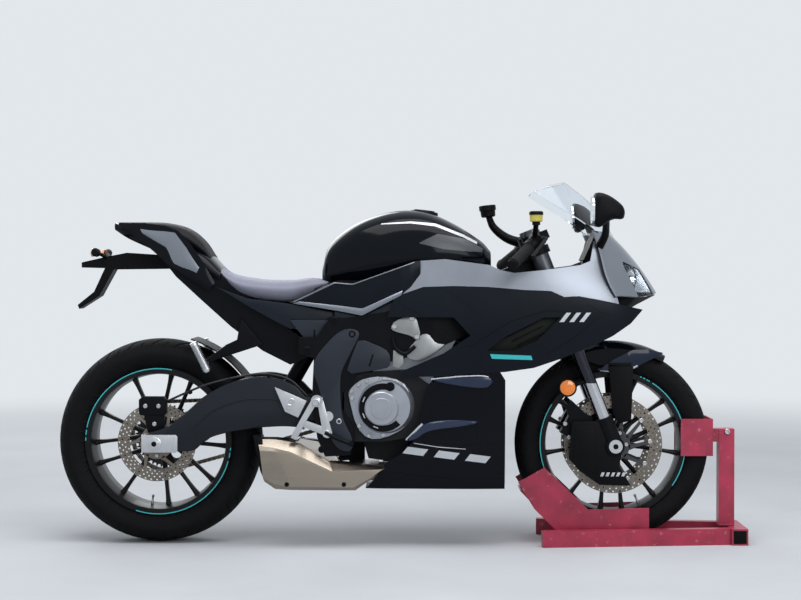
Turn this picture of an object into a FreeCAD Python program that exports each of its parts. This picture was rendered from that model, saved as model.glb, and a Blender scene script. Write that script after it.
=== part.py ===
# Sport bike standing in a front wheel chock.
#
# Millimetres. +X points to the front of the bike, +Y to its left, +Z up.  The origin lies on the floor,
# under the middle of the bounding box.
#
# Every driving dimension is a named cell of the sheet "Sizes".  Simple pieces are bound to those cells by
# expressions; the free-form skins read the same cells where they are built.

import FreeCAD
import Part
import Sketcher

import math
import os
import re

from FreeCAD import Placement, Rotation, Vector

os.makedirs("parts", exist_ok=True)

doc = FreeCAD.newDocument("SportBike")
sheet = doc.addObject("Spreadsheet::Sheet", "Sizes")

SIZES = [
    ("wheelbase", 1400, "rear axle to front axle"),
    ("front_axle_x", 653, "front axle ahead of the origin"),
    ("rake", 21.5, "steering axis from the vertical, degrees"),
    ("fork_offset", 32, "axle ahead of the steering axis"),
    ("rear_tyre_radius", 315, "rear tyre, 180/55-17"),
    ("rear_tyre_width", 180, "rear tyre across the tread"),
    ("rear_rim_width", 140, "rear rim between its flanges"),
    ("front_tyre_radius", 300, "front tyre, 120/70-17"),
    ("front_tyre_width", 120, "front tyre across the tread"),
    ("front_rim_width", 89, "front rim between its flanges"),
    ("front_tyre_lift", 6, "front tyre above the floor, on the chock plate"),
    ("bead_radius", 216, "17 inch bead seat"),
    ("flange_height", 12, "rim flange above the bead seat"),
    ("flange_wall", 6, "rim flange, along the axle"),
    ("rim_wall", 7, "rim barrel wall"),
    ("hub_radius", 42, "wheel hub"),
    ("spoke_width", 15, "wheel spoke, seen from the side"),
    ("spoke_depth", 30, "wheel spoke, along the axle"),
    ("axle_radius", 12.5, "both wheel axles"),
    ("axle_bore", 8, "radius of the hole through both axles"),
    ("running_gap", 0.05, "bearing clearance, on the radius"),
    ("front_disc_radius", 150, "front brake discs"),
    ("rear_disc_radius", 120, "rear brake disc"),
    ("disc_wall", 5, "brake disc thickness"),
    ("front_disc_y", 62, "inner face of a front disc"),
    ("front_hub_half", 62, "half length of the front hub"),
    ("rear_disc_y", 97, "inner face of the rear disc"),
    ("sprocket_y", 101, "inner face of the rear sprocket"),
    ("sprocket_wall", 7, "rear sprocket thickness"),
    ("sprocket_teeth", 43, "teeth of the rear sprocket"),
    ("front_sprocket_teeth", 15, "teeth of the front sprocket"),
    ("chain_pitch", 15.875, "drive chain pitch"),
    ("chain_plate_height", 15, "chain side plate, across the run"),
    ("chain_width", 19, "drive chain across its plates"),
    ("pivot_x", -218, "swingarm pivot"),
    ("pivot_z", 400, "swingarm pivot"),
    ("pivot_radius", 24, "swingarm pivot tube"),
    ("arm_inside", 120, "inner face of a swingarm leg from the middle"),
    ("arm_wall", 25, "swingarm leg, across"),
    ("fork_half", 105, "fork leg from the middle"),
    ("fork_tube_radius", 27, "upper fork tube"),
    ("fork_slider_radius", 20.5, "chrome lower tube"),
    ("fork_tube_low", 335, "lower end of the upper tube, above the axle"),
    ("fork_top", 700, "top of the fork, above the axle"),
    ("lower_clamp_z", 470, "lower triple clamp, above the axle"),
    ("upper_clamp_z", 625, "upper triple clamp, above the axle"),
    ("clamp_wall", 30, "lower triple clamp height"),
    ("upper_clamp_wall", 24, "upper triple clamp height"),
    ("stem_radius", 15, "steering stem"),
    ("head_radius", 34, "head tube, outside"),
    ("clamp_gap", 1, "head tube to each triple clamp"),
    ("spar_outside", 165, "flat outer face of a frame spar from the middle"),
    ("spar_wall", 28, "frame spar across"),
    ("pivot_plate_wall", 18, "frame plate beside the swingarm pivot"),
    ("fixed_fit", 0.02, "clearance of a tube clamped in a bore, on the radius"),
    ("bar_radius", 11, "handlebar tube"),
    ("grip_radius", 17, "rubber grip"),
    ("engine_half", 147, "crankcase, between the frame plates"),
    ("skin_wall", 4, "fairing panels"),
    ("fender_gap", 12, "front fender to the tyre"),
    ("fender_wall", 3, "front fender"),
    ("rail_width", 30, "chock tube, across"),
    ("rail_height", 50, "chock tube, upright"),
    ("plate_wall", 5, "chock plates"),
    ("tyre_seat", 0.4, "front tyre to the chock plates"),
]

for row, (alias, value, note) in enumerate(SIZES, start=1):
    sheet.set("A%d" % row, note)
    sheet.set("B%d" % row, str(value))
    sheet.setAlias("B%d" % row, alias)
doc.recompute()

ALIASES = {alias for alias, value, note in SIZES}
PARTS = []


def formula(text):
    """The expression with each size name turned into a reference to its cell."""
    return re.sub(r"[a-z][a-z0-9_]*", lambda m: "Sizes." + m[0] if m[0] in ALIASES else m[0], str(text))


def number(text):
    """The value of an expression of size names."""
    return float(sheet.evalExpression(formula(text)))


def bind(item, **sizes):
    for name, text in sizes.items():
        item.setExpression(name, formula(text))
    return item


def place(item, x=0, y=0, z=0, rotation=None):
    """Put an object at a point whose coordinates are bound expressions."""
    item.Placement = Placement(Vector(number(x), number(y), number(z)), rotation or Rotation())
    for axis, text in zip("xyz", (x, y, z)):
        item.setExpression("Placement.Base." + axis, formula(text))
    return item


def part(item, label):
    """Name a finished sub-part; its label is also the name of its file."""
    item.Label = label
    PARTS.append(item)
    return item


ALONG_X = Rotation(Vector(0, 1, 0), 90)
ALONG_Y = Rotation(Vector(1, 0, 0), -90)
REAR_X = "(front_axle_x - wheelbase)"
FRONT_Z = "(front_tyre_radius + front_tyre_lift)"


def cylinder(name, radius, length, x=0, y=0, z=0, rotation=None):
    item = doc.addObject("Part::Cylinder", name)
    bind(item, Radius=radius, Height=length)
    return place(item, x, y, z, rotation)


def box(name, length, width, height, x=0, y=0, z=0, rotation=None):
    item = doc.addObject("Part::Box", name)
    bind(item, Length=length, Width=width, Height=height)
    return place(item, x, y, z, rotation)


def fuse(name, items):
    result = doc.addObject("Part::MultiFuse", name)
    result.Shapes = items
    result.Refine = True
    return result


def cut(name, base, tool):
    result = doc.addObject("Part::Cut", name)
    result.Base = base
    result.Tool = tool
    result.Refine = True
    return result


def mirrored(name, source):
    """The same piece on the other side of the bike."""
    result = doc.addObject("Part::Mirroring", name)
    result.Source = source
    result.Normal = Vector(0, 1, 0)
    return result


def solid(name, shape):
    """A free-form piece whose shape is worked out below."""
    result = doc.addObject("Part::Feature", name)
    result.Shape = shape
    return result


def new_body(name):
    body = doc.addObject("PartDesign::Body", name)
    body.AllowCompound = True
    return body


def origin_feature(body, role):
    return next(f for f in body.Origin.OriginFeatures if f.Role == role)


def sketch_on(body, name, plane):
    item = body.newObject("Sketcher::SketchObject", name)
    item.AttachmentSupport = [(origin_feature(body, plane), "")]
    item.MapMode = "FlatFace"
    return item


def outline(item, points):
    """A closed polygon whose corners are held by bound distances from the sketch's origin."""
    first = item.GeometryCount
    values = [(number(u), number(v)) for u, v in points]
    count = len(values)
    for i, (u, v) in enumerate(values):
        nu, nv = values[(i + 1) % count]
        item.addGeometry(Part.LineSegment(Vector(u, v, 0), Vector(nu, nv, 0)))
    for i in range(count):
        item.addConstraint(Sketcher.Constraint("Coincident", first + i, 2, first + (i + 1) % count, 1))
    for i, (u, v) in enumerate(points):
        for kind, text, value in (("DistanceX", u, values[i][0]), ("DistanceY", v, values[i][1])):
            place_at = item.addConstraint(Sketcher.Constraint(kind, -1, 1, first + i, 1, value))
            if isinstance(text, str):
                item.setExpression("Constraints[%d]" % place_at, formula(text))


def pad(body, sketch, length, midplane=False, reverse=False):
    item = body.newObject("PartDesign::Pad", sketch.Name + "Pad")
    item.Profile = sketch
    item.Midplane = midplane
    item.Reversed = reverse
    bind(item, Length=length)
    return item


def side_plate(name, points, inside, wall, x=0, z=0):
    """A plate cut to a side view outline, on the right of the bike, from y = -inside outwards."""
    body = new_body(name)
    sketch = sketch_on(body, name + "Outline", "XZ_Plane")
    outline(sketch, points)
    pad(body, sketch, wall)
    place(body, x, "-(%s)" % inside, z)
    return body


def revolve(body, sketch, name):
    item = body.newObject("PartDesign::Revolution", name)
    item.Profile = sketch
    item.ReferenceAxis = (sketch, ["V_Axis"])
    item.Angle = 360
    return item


# Wheels.  Both lie on their axle's line, the profiles turned about it.


def tyre(name, radius, width, rim_width, crown, x, z):
    body = new_body(name)
    sketch = sketch_on(body, name + "Profile", "XY_Plane")
    seat, half = "bead_radius", "(%s) / 2" % rim_width
    flange = "bead_radius + flange_height"
    shoulder, wide = "%s - %s" % (radius, crown), "(%s) / 2" % width
    outline(sketch, [
        (seat, "-" + half), (flange, "-" + half), (flange + " + 16", "-(%s - 4)" % wide),
        (shoulder, "-" + wide), ("%s - %s * 0.42" % (radius, crown), "-(%s) * 0.78" % wide),
        ("%s - %s * 0.1" % (radius, crown), "-(%s) * 0.4" % wide), (radius, "-(%s) * 0.12" % wide),
        (radius, "(%s) * 0.12" % wide), ("%s - %s * 0.1" % (radius, crown), "(%s) * 0.4" % wide),
        ("%s - %s * 0.42" % (radius, crown), "(%s) * 0.78" % wide), (shoulder, wide),
        (flange + " + 16", "%s - 4" % wide), (flange, half), (seat, half)])
    revolve(body, sketch, name + "Turn")
    return place(body, x, 0, z)


def spoke(angle_in, angle_out, turn):
    """Corners of one spoke between the hub and the barrel, its ends at two angles."""
    inner, outer = "(hub_radius - 5)", "(bead_radius - rim_wall + 3)"
    a, b = math.radians(angle_in + turn), math.radians(angle_out + turn)
    direction = Vector(math.cos(b) * 5 - math.cos(a), math.sin(b) * 5 - math.sin(a), 0).normalize()
    side = (-direction.y, direction.x)
    return [("%s * %.5f + %.5f * spoke_width" % (reach, math.cos(angle), sign * side[0] / 2),
             "%s * %.5f + %.5f * spoke_width" % (reach, math.sin(angle), sign * side[1] / 2))
            for reach, angle, sign in ((inner, a, 1), (inner, a, -1), (outer, b, -1), (outer, b, 1))]


def rim(name, rim_width, half_hub_right, half_hub_left, bore, narrow, wide, x, z):
    body = new_body(name)
    half = "(%s) / 2" % rim_width
    edge = "((%s) / 2 + flange_wall)" % rim_width
    flange = "bead_radius + flange_height"
    barrel = sketch_on(body, name + "Barrel", "XY_Plane")
    outline(barrel, [
        (flange, "-" + edge), (flange, "-" + half), ("bead_radius", "-" + half), ("bead_radius", half),
        (flange, half), (flange, edge), ("bead_radius - 4", edge),
        ("bead_radius - rim_wall", "(%s) * 0.3" % half), ("bead_radius - rim_wall", "-(%s) * 0.3" % half),
        ("bead_radius - 4", "-" + edge)])
    revolve(body, barrel, name + "BarrelTurn")
    hub = sketch_on(body, name + "Hub", "XY_Plane")
    outline(hub, [(bore, "-(%s)" % half_hub_right), ("hub_radius", "-(%s)" % half_hub_right),
                  ("hub_radius", half_hub_left), (bore, half_hub_left)])
    revolve(body, hub, name + "HubTurn")
    spokes = sketch_on(body, name + "Spokes", "XZ_Plane")
    for turn, near, far in ((narrow, 30, 9), (wide, 24, 21)):
        for side in (-1, 1):
            outline(spokes, spoke(side * near, side * far, turn))
    one = pad(body, spokes, "spoke_depth", midplane=True)
    pattern = body.newObject("PartDesign::PolarPattern", name + "SpokePattern")
    pattern.Originals = [one]
    pattern.Axis = (origin_feature(body, "Y_Axis"), [""])
    pattern.Angle = 360
    pattern.Occurrences = 3
    body.Tip = pattern
    return place(body, x, 0, z)


AXLE_BORE = "axle_radius + running_gap"
part(tyre("FrontTyre", "front_tyre_radius", "front_tyre_width", "front_rim_width", 34,
          "front_axle_x", FRONT_Z), "front_tyre")
part(rim("FrontRim", "front_rim_width", "front_hub_half", "front_hub_half", AXLE_BORE, 30, 90,
         "front_axle_x", FRONT_Z), "front_rim")
part(tyre("RearTyre", "rear_tyre_radius", "rear_tyre_width", "rear_rim_width", 45,
          REAR_X, "rear_tyre_radius"), "rear_tyre")
part(rim("RearRim", "rear_rim_width", "rear_disc_y", "sprocket_y", AXLE_BORE, 72, 15,
         REAR_X, "rear_tyre_radius"), "rear_rim")


def disc(name, radius, centre, inner_y, x, z):
    """A brake disc: the braking ring, its carrier's arms and the ring of the hub bolts."""
    body = new_body(name)
    sketch = sketch_on(body, name + "Ring", "XZ_Plane")
    for value in (radius, centre):
        where = sketch.addGeometry(Part.Circle(Vector(0, 0, 0), Vector(0, 0, 1), number(value)))
        sketch.addConstraint(Sketcher.Constraint("Coincident", where, 3, -1, 1))
        held = sketch.addConstraint(Sketcher.Constraint("Radius", where, number(value)))
        sketch.setExpression("Constraints[%d]" % held, formula(value))
    pad(body, sketch, "disc_wall")
    window = sketch_on(body, name + "Window", "XZ_Plane")
    outline(window, [("(%s) * 0.74" % radius, -9), ("(%s) * 0.72" % radius, 24),
                     ("(%s) + 14" % centre, 16), ("(%s) + 14" % centre, -5)])
    doc.recompute()
    hole = body.newObject("PartDesign::Pocket", name + "Opening")
    hole.Profile = window
    hole.Type = "ThroughAll"
    hole.Midplane = True
    pattern = body.newObject("PartDesign::PolarPattern", name + "Pattern")
    pattern.Originals = [hole]
    pattern.Axis = (origin_feature(body, "Y_Axis"), [""])
    pattern.Angle = 360
    pattern.Occurrences = 8
    body.Tip = pattern
    return place(body, x, "-(%s)" % inner_y, z)


right_disc = disc("FrontDisc", "front_disc_radius", AXLE_BORE, "front_disc_y", "front_axle_x", FRONT_Z)
part(fuse("FrontDiscs", [right_disc, mirrored("FrontDiscLeft", right_disc)]), "front_discs")
part(disc("RearDisc", "rear_disc_radius", AXLE_BORE, "rear_disc_y", REAR_X, "rear_tyre_radius"), "rear_disc")

# Chain and sprocket.  The teeth stop short of the rollers, so the wheel turns inside the standing chain.

TEETH = int(number("sprocket_teeth"))
PITCH = number("chain_pitch")
sprocket_pitch_radius = PITCH / 2 / math.sin(math.pi / TEETH)
small_pitch_radius = PITCH / 2 / math.sin(math.pi / number("front_sprocket_teeth"))
half_plate = number("chain_plate_height") / 2
tip = sprocket_pitch_radius - half_plate - 1


def ring_of_teeth(teeth, tip_radius, depth, y, wall):
    """A toothed disc about the Y direction: flat tips, straight flanks."""
    points = []
    for tooth in range(teeth):
        for share, radius in ((-0.28, tip_radius - depth), (-0.12, tip_radius), (0.12, tip_radius),
                              (0.28, tip_radius - depth)):
            angle = 2 * math.pi * (tooth + share) / teeth
            points.append(Vector(radius * math.cos(angle), y, radius * math.sin(angle)))
    face = Part.Face(Part.makePolygon(points + points[:1]))
    return face.extrude(Vector(0, wall, 0))


sprocket = ring_of_teeth(TEETH, tip, 7, number("sprocket_y"), number("sprocket_wall"))
bore = Part.makeCylinder(number(AXLE_BORE), 40, Vector(0, number("sprocket_y") - 10, 0), Vector(0, 1, 0))
for k in range(6):
    angle = math.radians(60 * k)
    centre = Vector(62 * math.cos(angle), number("sprocket_y") - 10, 62 * math.sin(angle))
    bore = bore.fuse(Part.makeCylinder(17, 40, centre, Vector(0, 1, 0)))
sprocket = sprocket.cut(bore)
sprocket.translate(Vector(number(REAR_X), 0, number("rear_tyre_radius")))
part(solid("RearSprocket", sprocket), "rear_sprocket")

rear_centre = Vector(number(REAR_X), 0, number("rear_tyre_radius"))
front_centre = Vector(-130, 0, 412)


def belt(front, back, front_radius, back_radius, y, width):
    """The solid between an open belt round two circles and the floor of its wrap."""
    span = back - front
    distance = span.Length
    lean = math.asin((back_radius - front_radius) / distance)
    along = Vector(span).normalize()
    up = Vector(-along.z, 0, along.x)
    if up.z < 0:
        up = up * -1

    def at(centre, radius, sign):
        return centre + along * (-radius * math.sin(lean)) + up * (sign * radius * math.cos(lean))

    def rim_point(centre, radius, direction):
        return centre + along * (direction * radius)

    edges = [Part.LineSegment(at(front, front_radius, 1), at(back, back_radius, 1)).toShape(),
             Part.Arc(at(back, back_radius, 1), rim_point(back, back_radius, 1),
                      at(back, back_radius, -1)).toShape(),
             Part.LineSegment(at(back, back_radius, -1), at(front, front_radius, -1)).toShape(),
             Part.Arc(at(front, front_radius, -1), rim_point(front, front_radius, -1),
                      at(front, front_radius, 1)).toShape()]
    face = Part.Face(Part.Wire(edges))
    face.translate(Vector(0, y, 0))
    return face.extrude(Vector(0, width, 0))


chain_y = number("sprocket_y + sprocket_wall / 2 - chain_width / 2")
loop = belt(front_centre, rear_centre, small_pitch_radius + half_plate, sprocket_pitch_radius + half_plate,
            chain_y, number("chain_width"))
hollow = belt(front_centre, rear_centre, small_pitch_radius - half_plate, sprocket_pitch_radius - half_plate,
              chain_y - 1, number("chain_width") + 2)
part(solid("Chain", loop.cut(hollow)), "chain")

# Axles.

AXLE_HALF = "arm_inside + arm_wall + 9"
rear_axle = cylinder("RearAxleBar", "axle_radius", "2 * (%s)" % AXLE_HALF, REAR_X, "-(%s)" % AXLE_HALF,
                     "rear_tyre_radius", ALONG_Y)
collar_right = cylinder("RearCollarRight", "axle_radius + 7", "arm_inside - rear_disc_y - disc_wall - 0.5",
                        REAR_X, "-arm_inside", "rear_tyre_radius", ALONG_Y)
collar_left = cylinder("RearCollarLeft", "axle_radius + 7",
                       "arm_inside - sprocket_y - sprocket_wall - 0.5", REAR_X,
                       "sprocket_y + sprocket_wall + 0.5", "rear_tyre_radius", ALONG_Y)
nut_right = cylinder("RearNutRight", "axle_radius + 6", "8", REAR_X, "-(arm_inside + arm_wall + 8)",
                     "rear_tyre_radius", ALONG_Y)
nut_left = cylinder("RearNutLeft", "axle_radius + 6", "8", REAR_X, "arm_inside + arm_wall",
                    "rear_tyre_radius", ALONG_Y)
rear_hole = cylinder("RearAxleHole", "axle_bore", "2 * (%s) + 2" % AXLE_HALF, REAR_X,
                     "-(%s) - 1" % AXLE_HALF, "rear_tyre_radius", ALONG_Y)
part(cut("RearAxle", fuse("RearAxleSolid", [rear_axle, collar_right, collar_left, nut_right, nut_left]),
         rear_hole), "rear_axle")

# Swingarm.  The outline of one leg, from the axle at the back to the pivot at the front.

ARM = [(-802, 283), (-732, 283), (-690, 300), (-641, 272), (-610, 262), (-565, 310), (-489, 331),
       (-397, 337), (-290, 355), (-204, 372), (-194, 428), (-280, 450), (-320, 500), (-397, 516),
       (-489, 512), (-565, 495), (-641, 462), (-717, 416), (-802, 349)]
arm_right = side_plate("ArmRight", ARM, "arm_inside", "arm_wall")
arm_left = mirrored("ArmLeft", arm_right)
pivot_tube = cylinder("PivotTube", "pivot_radius", "2 * (arm_inside + 1)", "pivot_x", "-(arm_inside + 1)",
                      "pivot_z", ALONG_Y)
brace = cylinder("ArmBrace", 28, "2 * (arm_inside + 1)", -325, "-(arm_inside + 1)", 395, ALONG_Y)
bridge = box("ArmBridge", 70, "arm_inside + 70", 70, -395, "-(arm_inside + 1)", 425)
arm_solid = fuse("ArmSolid", [arm_right, arm_left, pivot_tube, brace, bridge])
arm_holes = fuse("ArmHoles", [
    cylinder("PivotHole", 10, 400, "pivot_x", -200, "pivot_z", ALONG_Y),
    cylinder("AxleHole", "axle_radius", 400, REAR_X, -200, "rear_tyre_radius", ALONG_Y)])
swingarm = part(cut("Swingarm", arm_solid, arm_holes), "swingarm")

# Steering.  The steering axis is the Z line of its own frame; X there points forward, square to the axis,
# and the axle lies fork_offset ahead of the axis at height zero.

TILT = Rotation(Vector(0, 1, 0), -number("rake"))
AXIS_X = "(front_axle_x - fork_offset * cos(rake))"
AXIS_Z = "(%s - fork_offset * sin(rake))" % FRONT_Z


def steered(item, x=0, y=0, z=0, rotation=None):
    """Put an object at a point of the steering frame."""
    return place(item, "%s + (%s) * cos(rake) - (%s) * sin(rake)" % (AXIS_X, x, z), y,
                 "%s + (%s) * sin(rake) + (%s) * cos(rake)" % (AXIS_Z, x, z), TILT * (rotation or Rotation()))


def steered_cylinder(name, radius, length, x=0, y=0, z=0, rotation=None):
    return steered(cylinder(name, radius, length), x, y, z, rotation)


def steered_box(name, length, width, height, x=0, y=0, z=0):
    return steered(box(name, length, width, height), x, y, z)


LEG_HOLE = "fork_tube_radius + fixed_fit"


def triple_clamp(name, low, height, reach):
    """One clamp: a bar across, an eye round each leg, a boss round the stem."""
    solids = [steered_box(name + "Bar", "fork_offset + 34", "2 * fork_half", height, -20, "-fork_half", low),
              steered_cylinder(name + "Boss", "stem_radius + 14", height, 0, 0, low)]
    for side, sign in (("Right", "-"), ("Left", "")):
        solids.append(steered_cylinder(name + "Eye" + side, reach, height, "fork_offset",
                                       sign + "fork_half", low))
    return solids


clamp_solids = triple_clamp("LowerClamp", "lower_clamp_z", "clamp_wall", "fork_tube_radius + 9")
clamp_solids += triple_clamp("UpperClamp", "upper_clamp_z", "upper_clamp_wall", "fork_tube_radius + 8")
clamp_solids.append(steered_cylinder("Stem", "stem_radius", "upper_clamp_z - lower_clamp_z", 0, 0,
                                     "lower_clamp_z + 2"))
leg_holes = [steered_cylinder("LegHole" + side, LEG_HOLE, "fork_top", "fork_offset", sign + "fork_half",
                              "fork_tube_low") for side, sign in (("Right", "-"), ("Left", ""))]
part(cut("TripleClamps", fuse("ClampSolid", clamp_solids), fuse("LegHoles", leg_holes)), "triple_clamps")


def largest(shape):
    """The biggest solid of a trimmed shape, without the crumbs behind its carrier."""
    return max(shape.Solids, key=lambda piece: piece.Volume)


def pair(name, right):
    """A piece and its twin across the bike, kept as two solids of one sub-part."""
    return fuse(name, [right, mirrored(name + "Left", right)])


tube = steered_cylinder("ForkTubeBar", "fork_tube_radius", "fork_top - fork_tube_low", "fork_offset",
                        "-fork_half", "fork_tube_low")
tube_cap = steered_cylinder("ForkCap", "fork_tube_radius - 5", 10, "fork_offset", "-fork_half", "fork_top - 2")
tube_bore = steered_cylinder("ForkTubeBore", "fork_slider_radius + fixed_fit", 52, "fork_offset",
                             "-fork_half", "fork_tube_low - 1")
part(pair("ForkTubes", cut("ForkTube", fuse("ForkTubeSolid", [tube, tube_cap]), tube_bore)), "fork_tubes")

FOOT_TOP = 92
slider = steered_cylinder("ForkSlider", "fork_slider_radius", "fork_tube_low + 50 - %s" % FOOT_TOP,
                          "fork_offset", "-fork_half", FOOT_TOP)
part(pair("ForkSliders", slider), "fork_sliders")

foot_solids = [
    steered_cylinder("FootSleeve", "fork_slider_radius + 6", FOOT_TOP + 10, "fork_offset", "-fork_half", -10),
    cylinder("FootBoss", "axle_radius + 15", 54, "front_axle_x", "-fork_half - 27", FRONT_Z, ALONG_Y)]
lug_body = new_body("CaliperLug")
lug_sketch = sketch_on(lug_body, "CaliperLugOutline", "XZ_Plane")
outline(lug_sketch, [("fork_offset", 20), ("fork_offset", 80), (0, 92), (-40, 178), (-64, 160), (-70, 70),
                     (-40, 44)])
pad(lug_body, lug_sketch, 9)
steered(lug_body, 0, -90, 0)
foot_hole = cylinder("FootHole", "axle_radius + fixed_fit", 80, "front_axle_x", "-fork_half - 40", FRONT_Z,
                     ALONG_Y)
foot = cut("ForkFoot", fuse("ForkFootSolid", foot_solids + [lug_body]), foot_hole)
part(pair("ForkFeet", foot), "fork_feet")

bar_half = "fork_half + 33"
front_bar = cylinder("FrontAxleBar", "axle_radius", "2 * (%s)" % bar_half, "front_axle_x", "-(%s)" % bar_half,
                     FRONT_Z, ALONG_Y)
front_collars = [
    cylinder("FrontCollarRight", "axle_radius + 6", "fork_half - 27.5 - front_disc_y - disc_wall",
             "front_axle_x", "-(fork_half - 27)", FRONT_Z, ALONG_Y),
    cylinder("FrontCollarLeft", "axle_radius + 6", "fork_half - 27.5 - front_disc_y - disc_wall",
             "front_axle_x", "front_disc_y + disc_wall + 0.5", FRONT_Z, ALONG_Y),
    cylinder("FrontNut", "axle_radius + 8", 5, "front_axle_x", "-(fork_half + 32)", FRONT_Z, ALONG_Y)]
front_hole = cylinder("FrontAxleHole", "axle_bore", "2 * (%s) + 2" % bar_half, "front_axle_x",
                      "-(%s) - 1" % bar_half, FRONT_Z, ALONG_Y)
part(cut("FrontAxle", fuse("FrontAxleSolid", [front_bar] + front_collars), front_hole), "front_axle")

WHEEL_CENTRE = Vector(number("front_axle_x"), 0, number(FRONT_Z))


def about_wheel(angle, radius, y=0):
    """A point beside the front wheel; the angle runs from straight ahead, up and over."""
    turn = math.radians(angle)
    return WHEEL_CENTRE + Vector(radius * math.cos(turn), y, radius * math.sin(turn))


def wheel_block(angle, low, high, half, y_low, y_high):
    """A block beside the front wheel, square to the radius at an angle."""
    block = Part.makeBox(high - low, y_high - y_low, 2 * half, Vector(low, y_low, -half))
    block.rotate(Vector(0, 0, 0), Vector(0, 1, 0), -angle)
    block.translate(WHEEL_CENTRE)
    return block


disc_low, disc_high = number("front_disc_y"), number("front_disc_y + disc_wall")
disc_radius = number("front_disc_radius")
caliper = wheel_block(152, disc_radius - 55, disc_radius + 14, 44, -90, -disc_low + 18)
caliper = caliper.cut(wheel_block(152, disc_radius - 60, disc_radius + 4, 60, -disc_high - 3, -disc_low + 3))
part(pair("FrontCalipers", solid("FrontCaliper", caliper)), "front_calipers")

fender_in = number("front_tyre_radius + fender_gap")
fender_out = fender_in + number("fender_wall")
skirt_y = number("front_tyre_width / 2 + 9")
wall = number("fender_wall")
arch = [(fender_out - 74, -skirt_y - wall), (fender_out - 22, -skirt_y - wall), (fender_out, -skirt_y + 26),
        (fender_out + 3, 0), (fender_out, skirt_y - 26), (fender_out - 22, skirt_y + wall),
        (fender_out - 74, skirt_y + wall), (fender_out - 74, skirt_y), (fender_in - 22, skirt_y),
        (fender_in, skirt_y - 27), (fender_in + 3, 0), (fender_in, -skirt_y + 27),
        (fender_in - 22, -skirt_y), (fender_out - 74, -skirt_y)]
points = [WHEEL_CENTRE + Vector(r, y, 0) for r, y in arch]
profile = Part.Face(Part.makePolygon(points + points[:1]))
profile.rotate(WHEEL_CENTRE, Vector(0, 1, 0), -60)
fender = profile.revolve(WHEEL_CENTRE, Vector(0, -1, 0), 66)
slider_shape = Part.makeCylinder(number("fork_tube_radius") + 0.02, number("fork_top"))
leg_line = Placement(Vector(number(AXIS_X), 0, number(AXIS_Z)), TILT)
for sign in (-1, 1):
    leg = Part.makeCylinder(number("fork_slider_radius"), number("fork_top"),
                            Vector(number("fork_offset"), sign * number("fork_half"), 0))
    leg.Placement = leg_line.multiply(leg.Placement)
    local = Vector(number("fork_offset"), 0, 262)
    lug_centre = leg_line.multVec(local)
    stay = Part.makeCylinder(12, number("fork_half") - skirt_y, lug_centre + Vector(0, sign * skirt_y, 0),
                             Vector(0, sign, 0))
    fender = fender.fuse(stay.cut(leg))
part(solid("FrontFender", fender.removeSplitter()), "front_fender")


def rod(start, end, radius):
    """A straight bar between two points."""
    start, end = Vector(*start), Vector(*end)
    return Part.makeCylinder(radius, (end - start).Length, start, end - start)


def in_steering(x, y, z):
    """The world position of a point of the steering frame."""
    return leg_line.multVec(Vector(x, y, z))


clip_low = number("upper_clamp_z + upper_clamp_wall") + 16
ring_centre = (number("fork_offset"), -number("fork_half"))
ring = Part.makeCylinder(number("fork_tube_radius") + 8, 26, Vector(ring_centre[0], ring_centre[1], clip_low))
ring = ring.fuse(Part.makeBox(46, 30, 26, Vector(ring_centre[0], ring_centre[1] - 34, clip_low)))
ring = ring.cut(Part.makeCylinder(number(LEG_HOLE), 40, Vector(ring_centre[0], ring_centre[1], clip_low - 5)))
ring.Placement = leg_line
bar_start, bar_end = Vector(426, -122, 945), Vector(328, -345, 858)
bar = rod(bar_start, bar_end, number("bar_radius"))
leg_solid = Part.makeCylinder(number(LEG_HOLE), number("fork_top") + 60, Vector(ring_centre[0], ring_centre[1], 0))
leg_solid.Placement = leg_line
clip_on = ring.fuse(bar.cut(leg_solid))
along_bar = (bar_end - bar_start).normalize()
switch = rod(bar_start + along_bar * 75, bar_start + along_bar * 118, 21)
clip_on = clip_on.fuse(switch)
clip_right = solid("ClipOnRight", clip_on)
part(pair("ClipOns", clip_right), "clip_ons")

grip = rod(bar_start + along_bar * 119, bar_end + along_bar * 2, number("grip_radius"))
grip = grip.cut(rod(bar_start, bar_end + along_bar * 10, number("bar_radius") + 0.02))
part(pair("Grips", solid("GripRight", grip)), "grips")

# Levers stand ahead of the grips on a perch clamped round the bar.

lever_pivot = bar_start + along_bar * 62 + Vector(32, 0, 10)
lever = rod(bar_start + along_bar * 46, bar_start + along_bar * 73, 19)
lever = lever.fuse(rod(bar_start + along_bar * 60, lever_pivot, 12))
lever = lever.fuse(rod(lever_pivot - along_bar * 12, lever_pivot + along_bar * 165 + Vector(16, 0, 0), 6))
lever = lever.cut(rod(bar_start, bar_end, number("bar_radius") + 0.02)).cut(leg_solid).cut(ring)
levers = solid("BrakeLever", lever)
part(pair("Levers", levers), "levers")

# Chock.

cradle_gap = number("tyre_seat")
plate = number("plate_wall")
ramp_angle = 224
CRADLE_HALF = 72
ramp = wheel_block(ramp_angle, number("front_tyre_radius") + cradle_gap,
                   number("front_tyre_radius") + cradle_gap + plate, 95, -CRADLE_HALF, CRADLE_HALF)
bed = Part.makeBox(200, 2 * CRADLE_HALF, plate,
                   Vector(570, -CRADLE_HALF, number("front_tyre_lift") - cradle_gap - plate))
cheek_points = [(360, 190), (441, 236), (576, 106), (762, 112), (762, 6), (515, 4), (410, 108)]
cheek = Part.Face(Part.makePolygon([Vector(x, 0, z) for x, z in cheek_points + cheek_points[:1]]))
cradle = ramp.fuse(bed)
for sign in (-1, 1):
    cheek_solid = cheek.extrude(Vector(0, sign * plate, 0))
    cheek_solid.translate(Vector(0, sign * CRADLE_HALF, 0))
    cradle = cradle.fuse(cheek_solid)
part(solid("ChockCradle", cradle.removeSplitter()), "chock_cradle")

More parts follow.
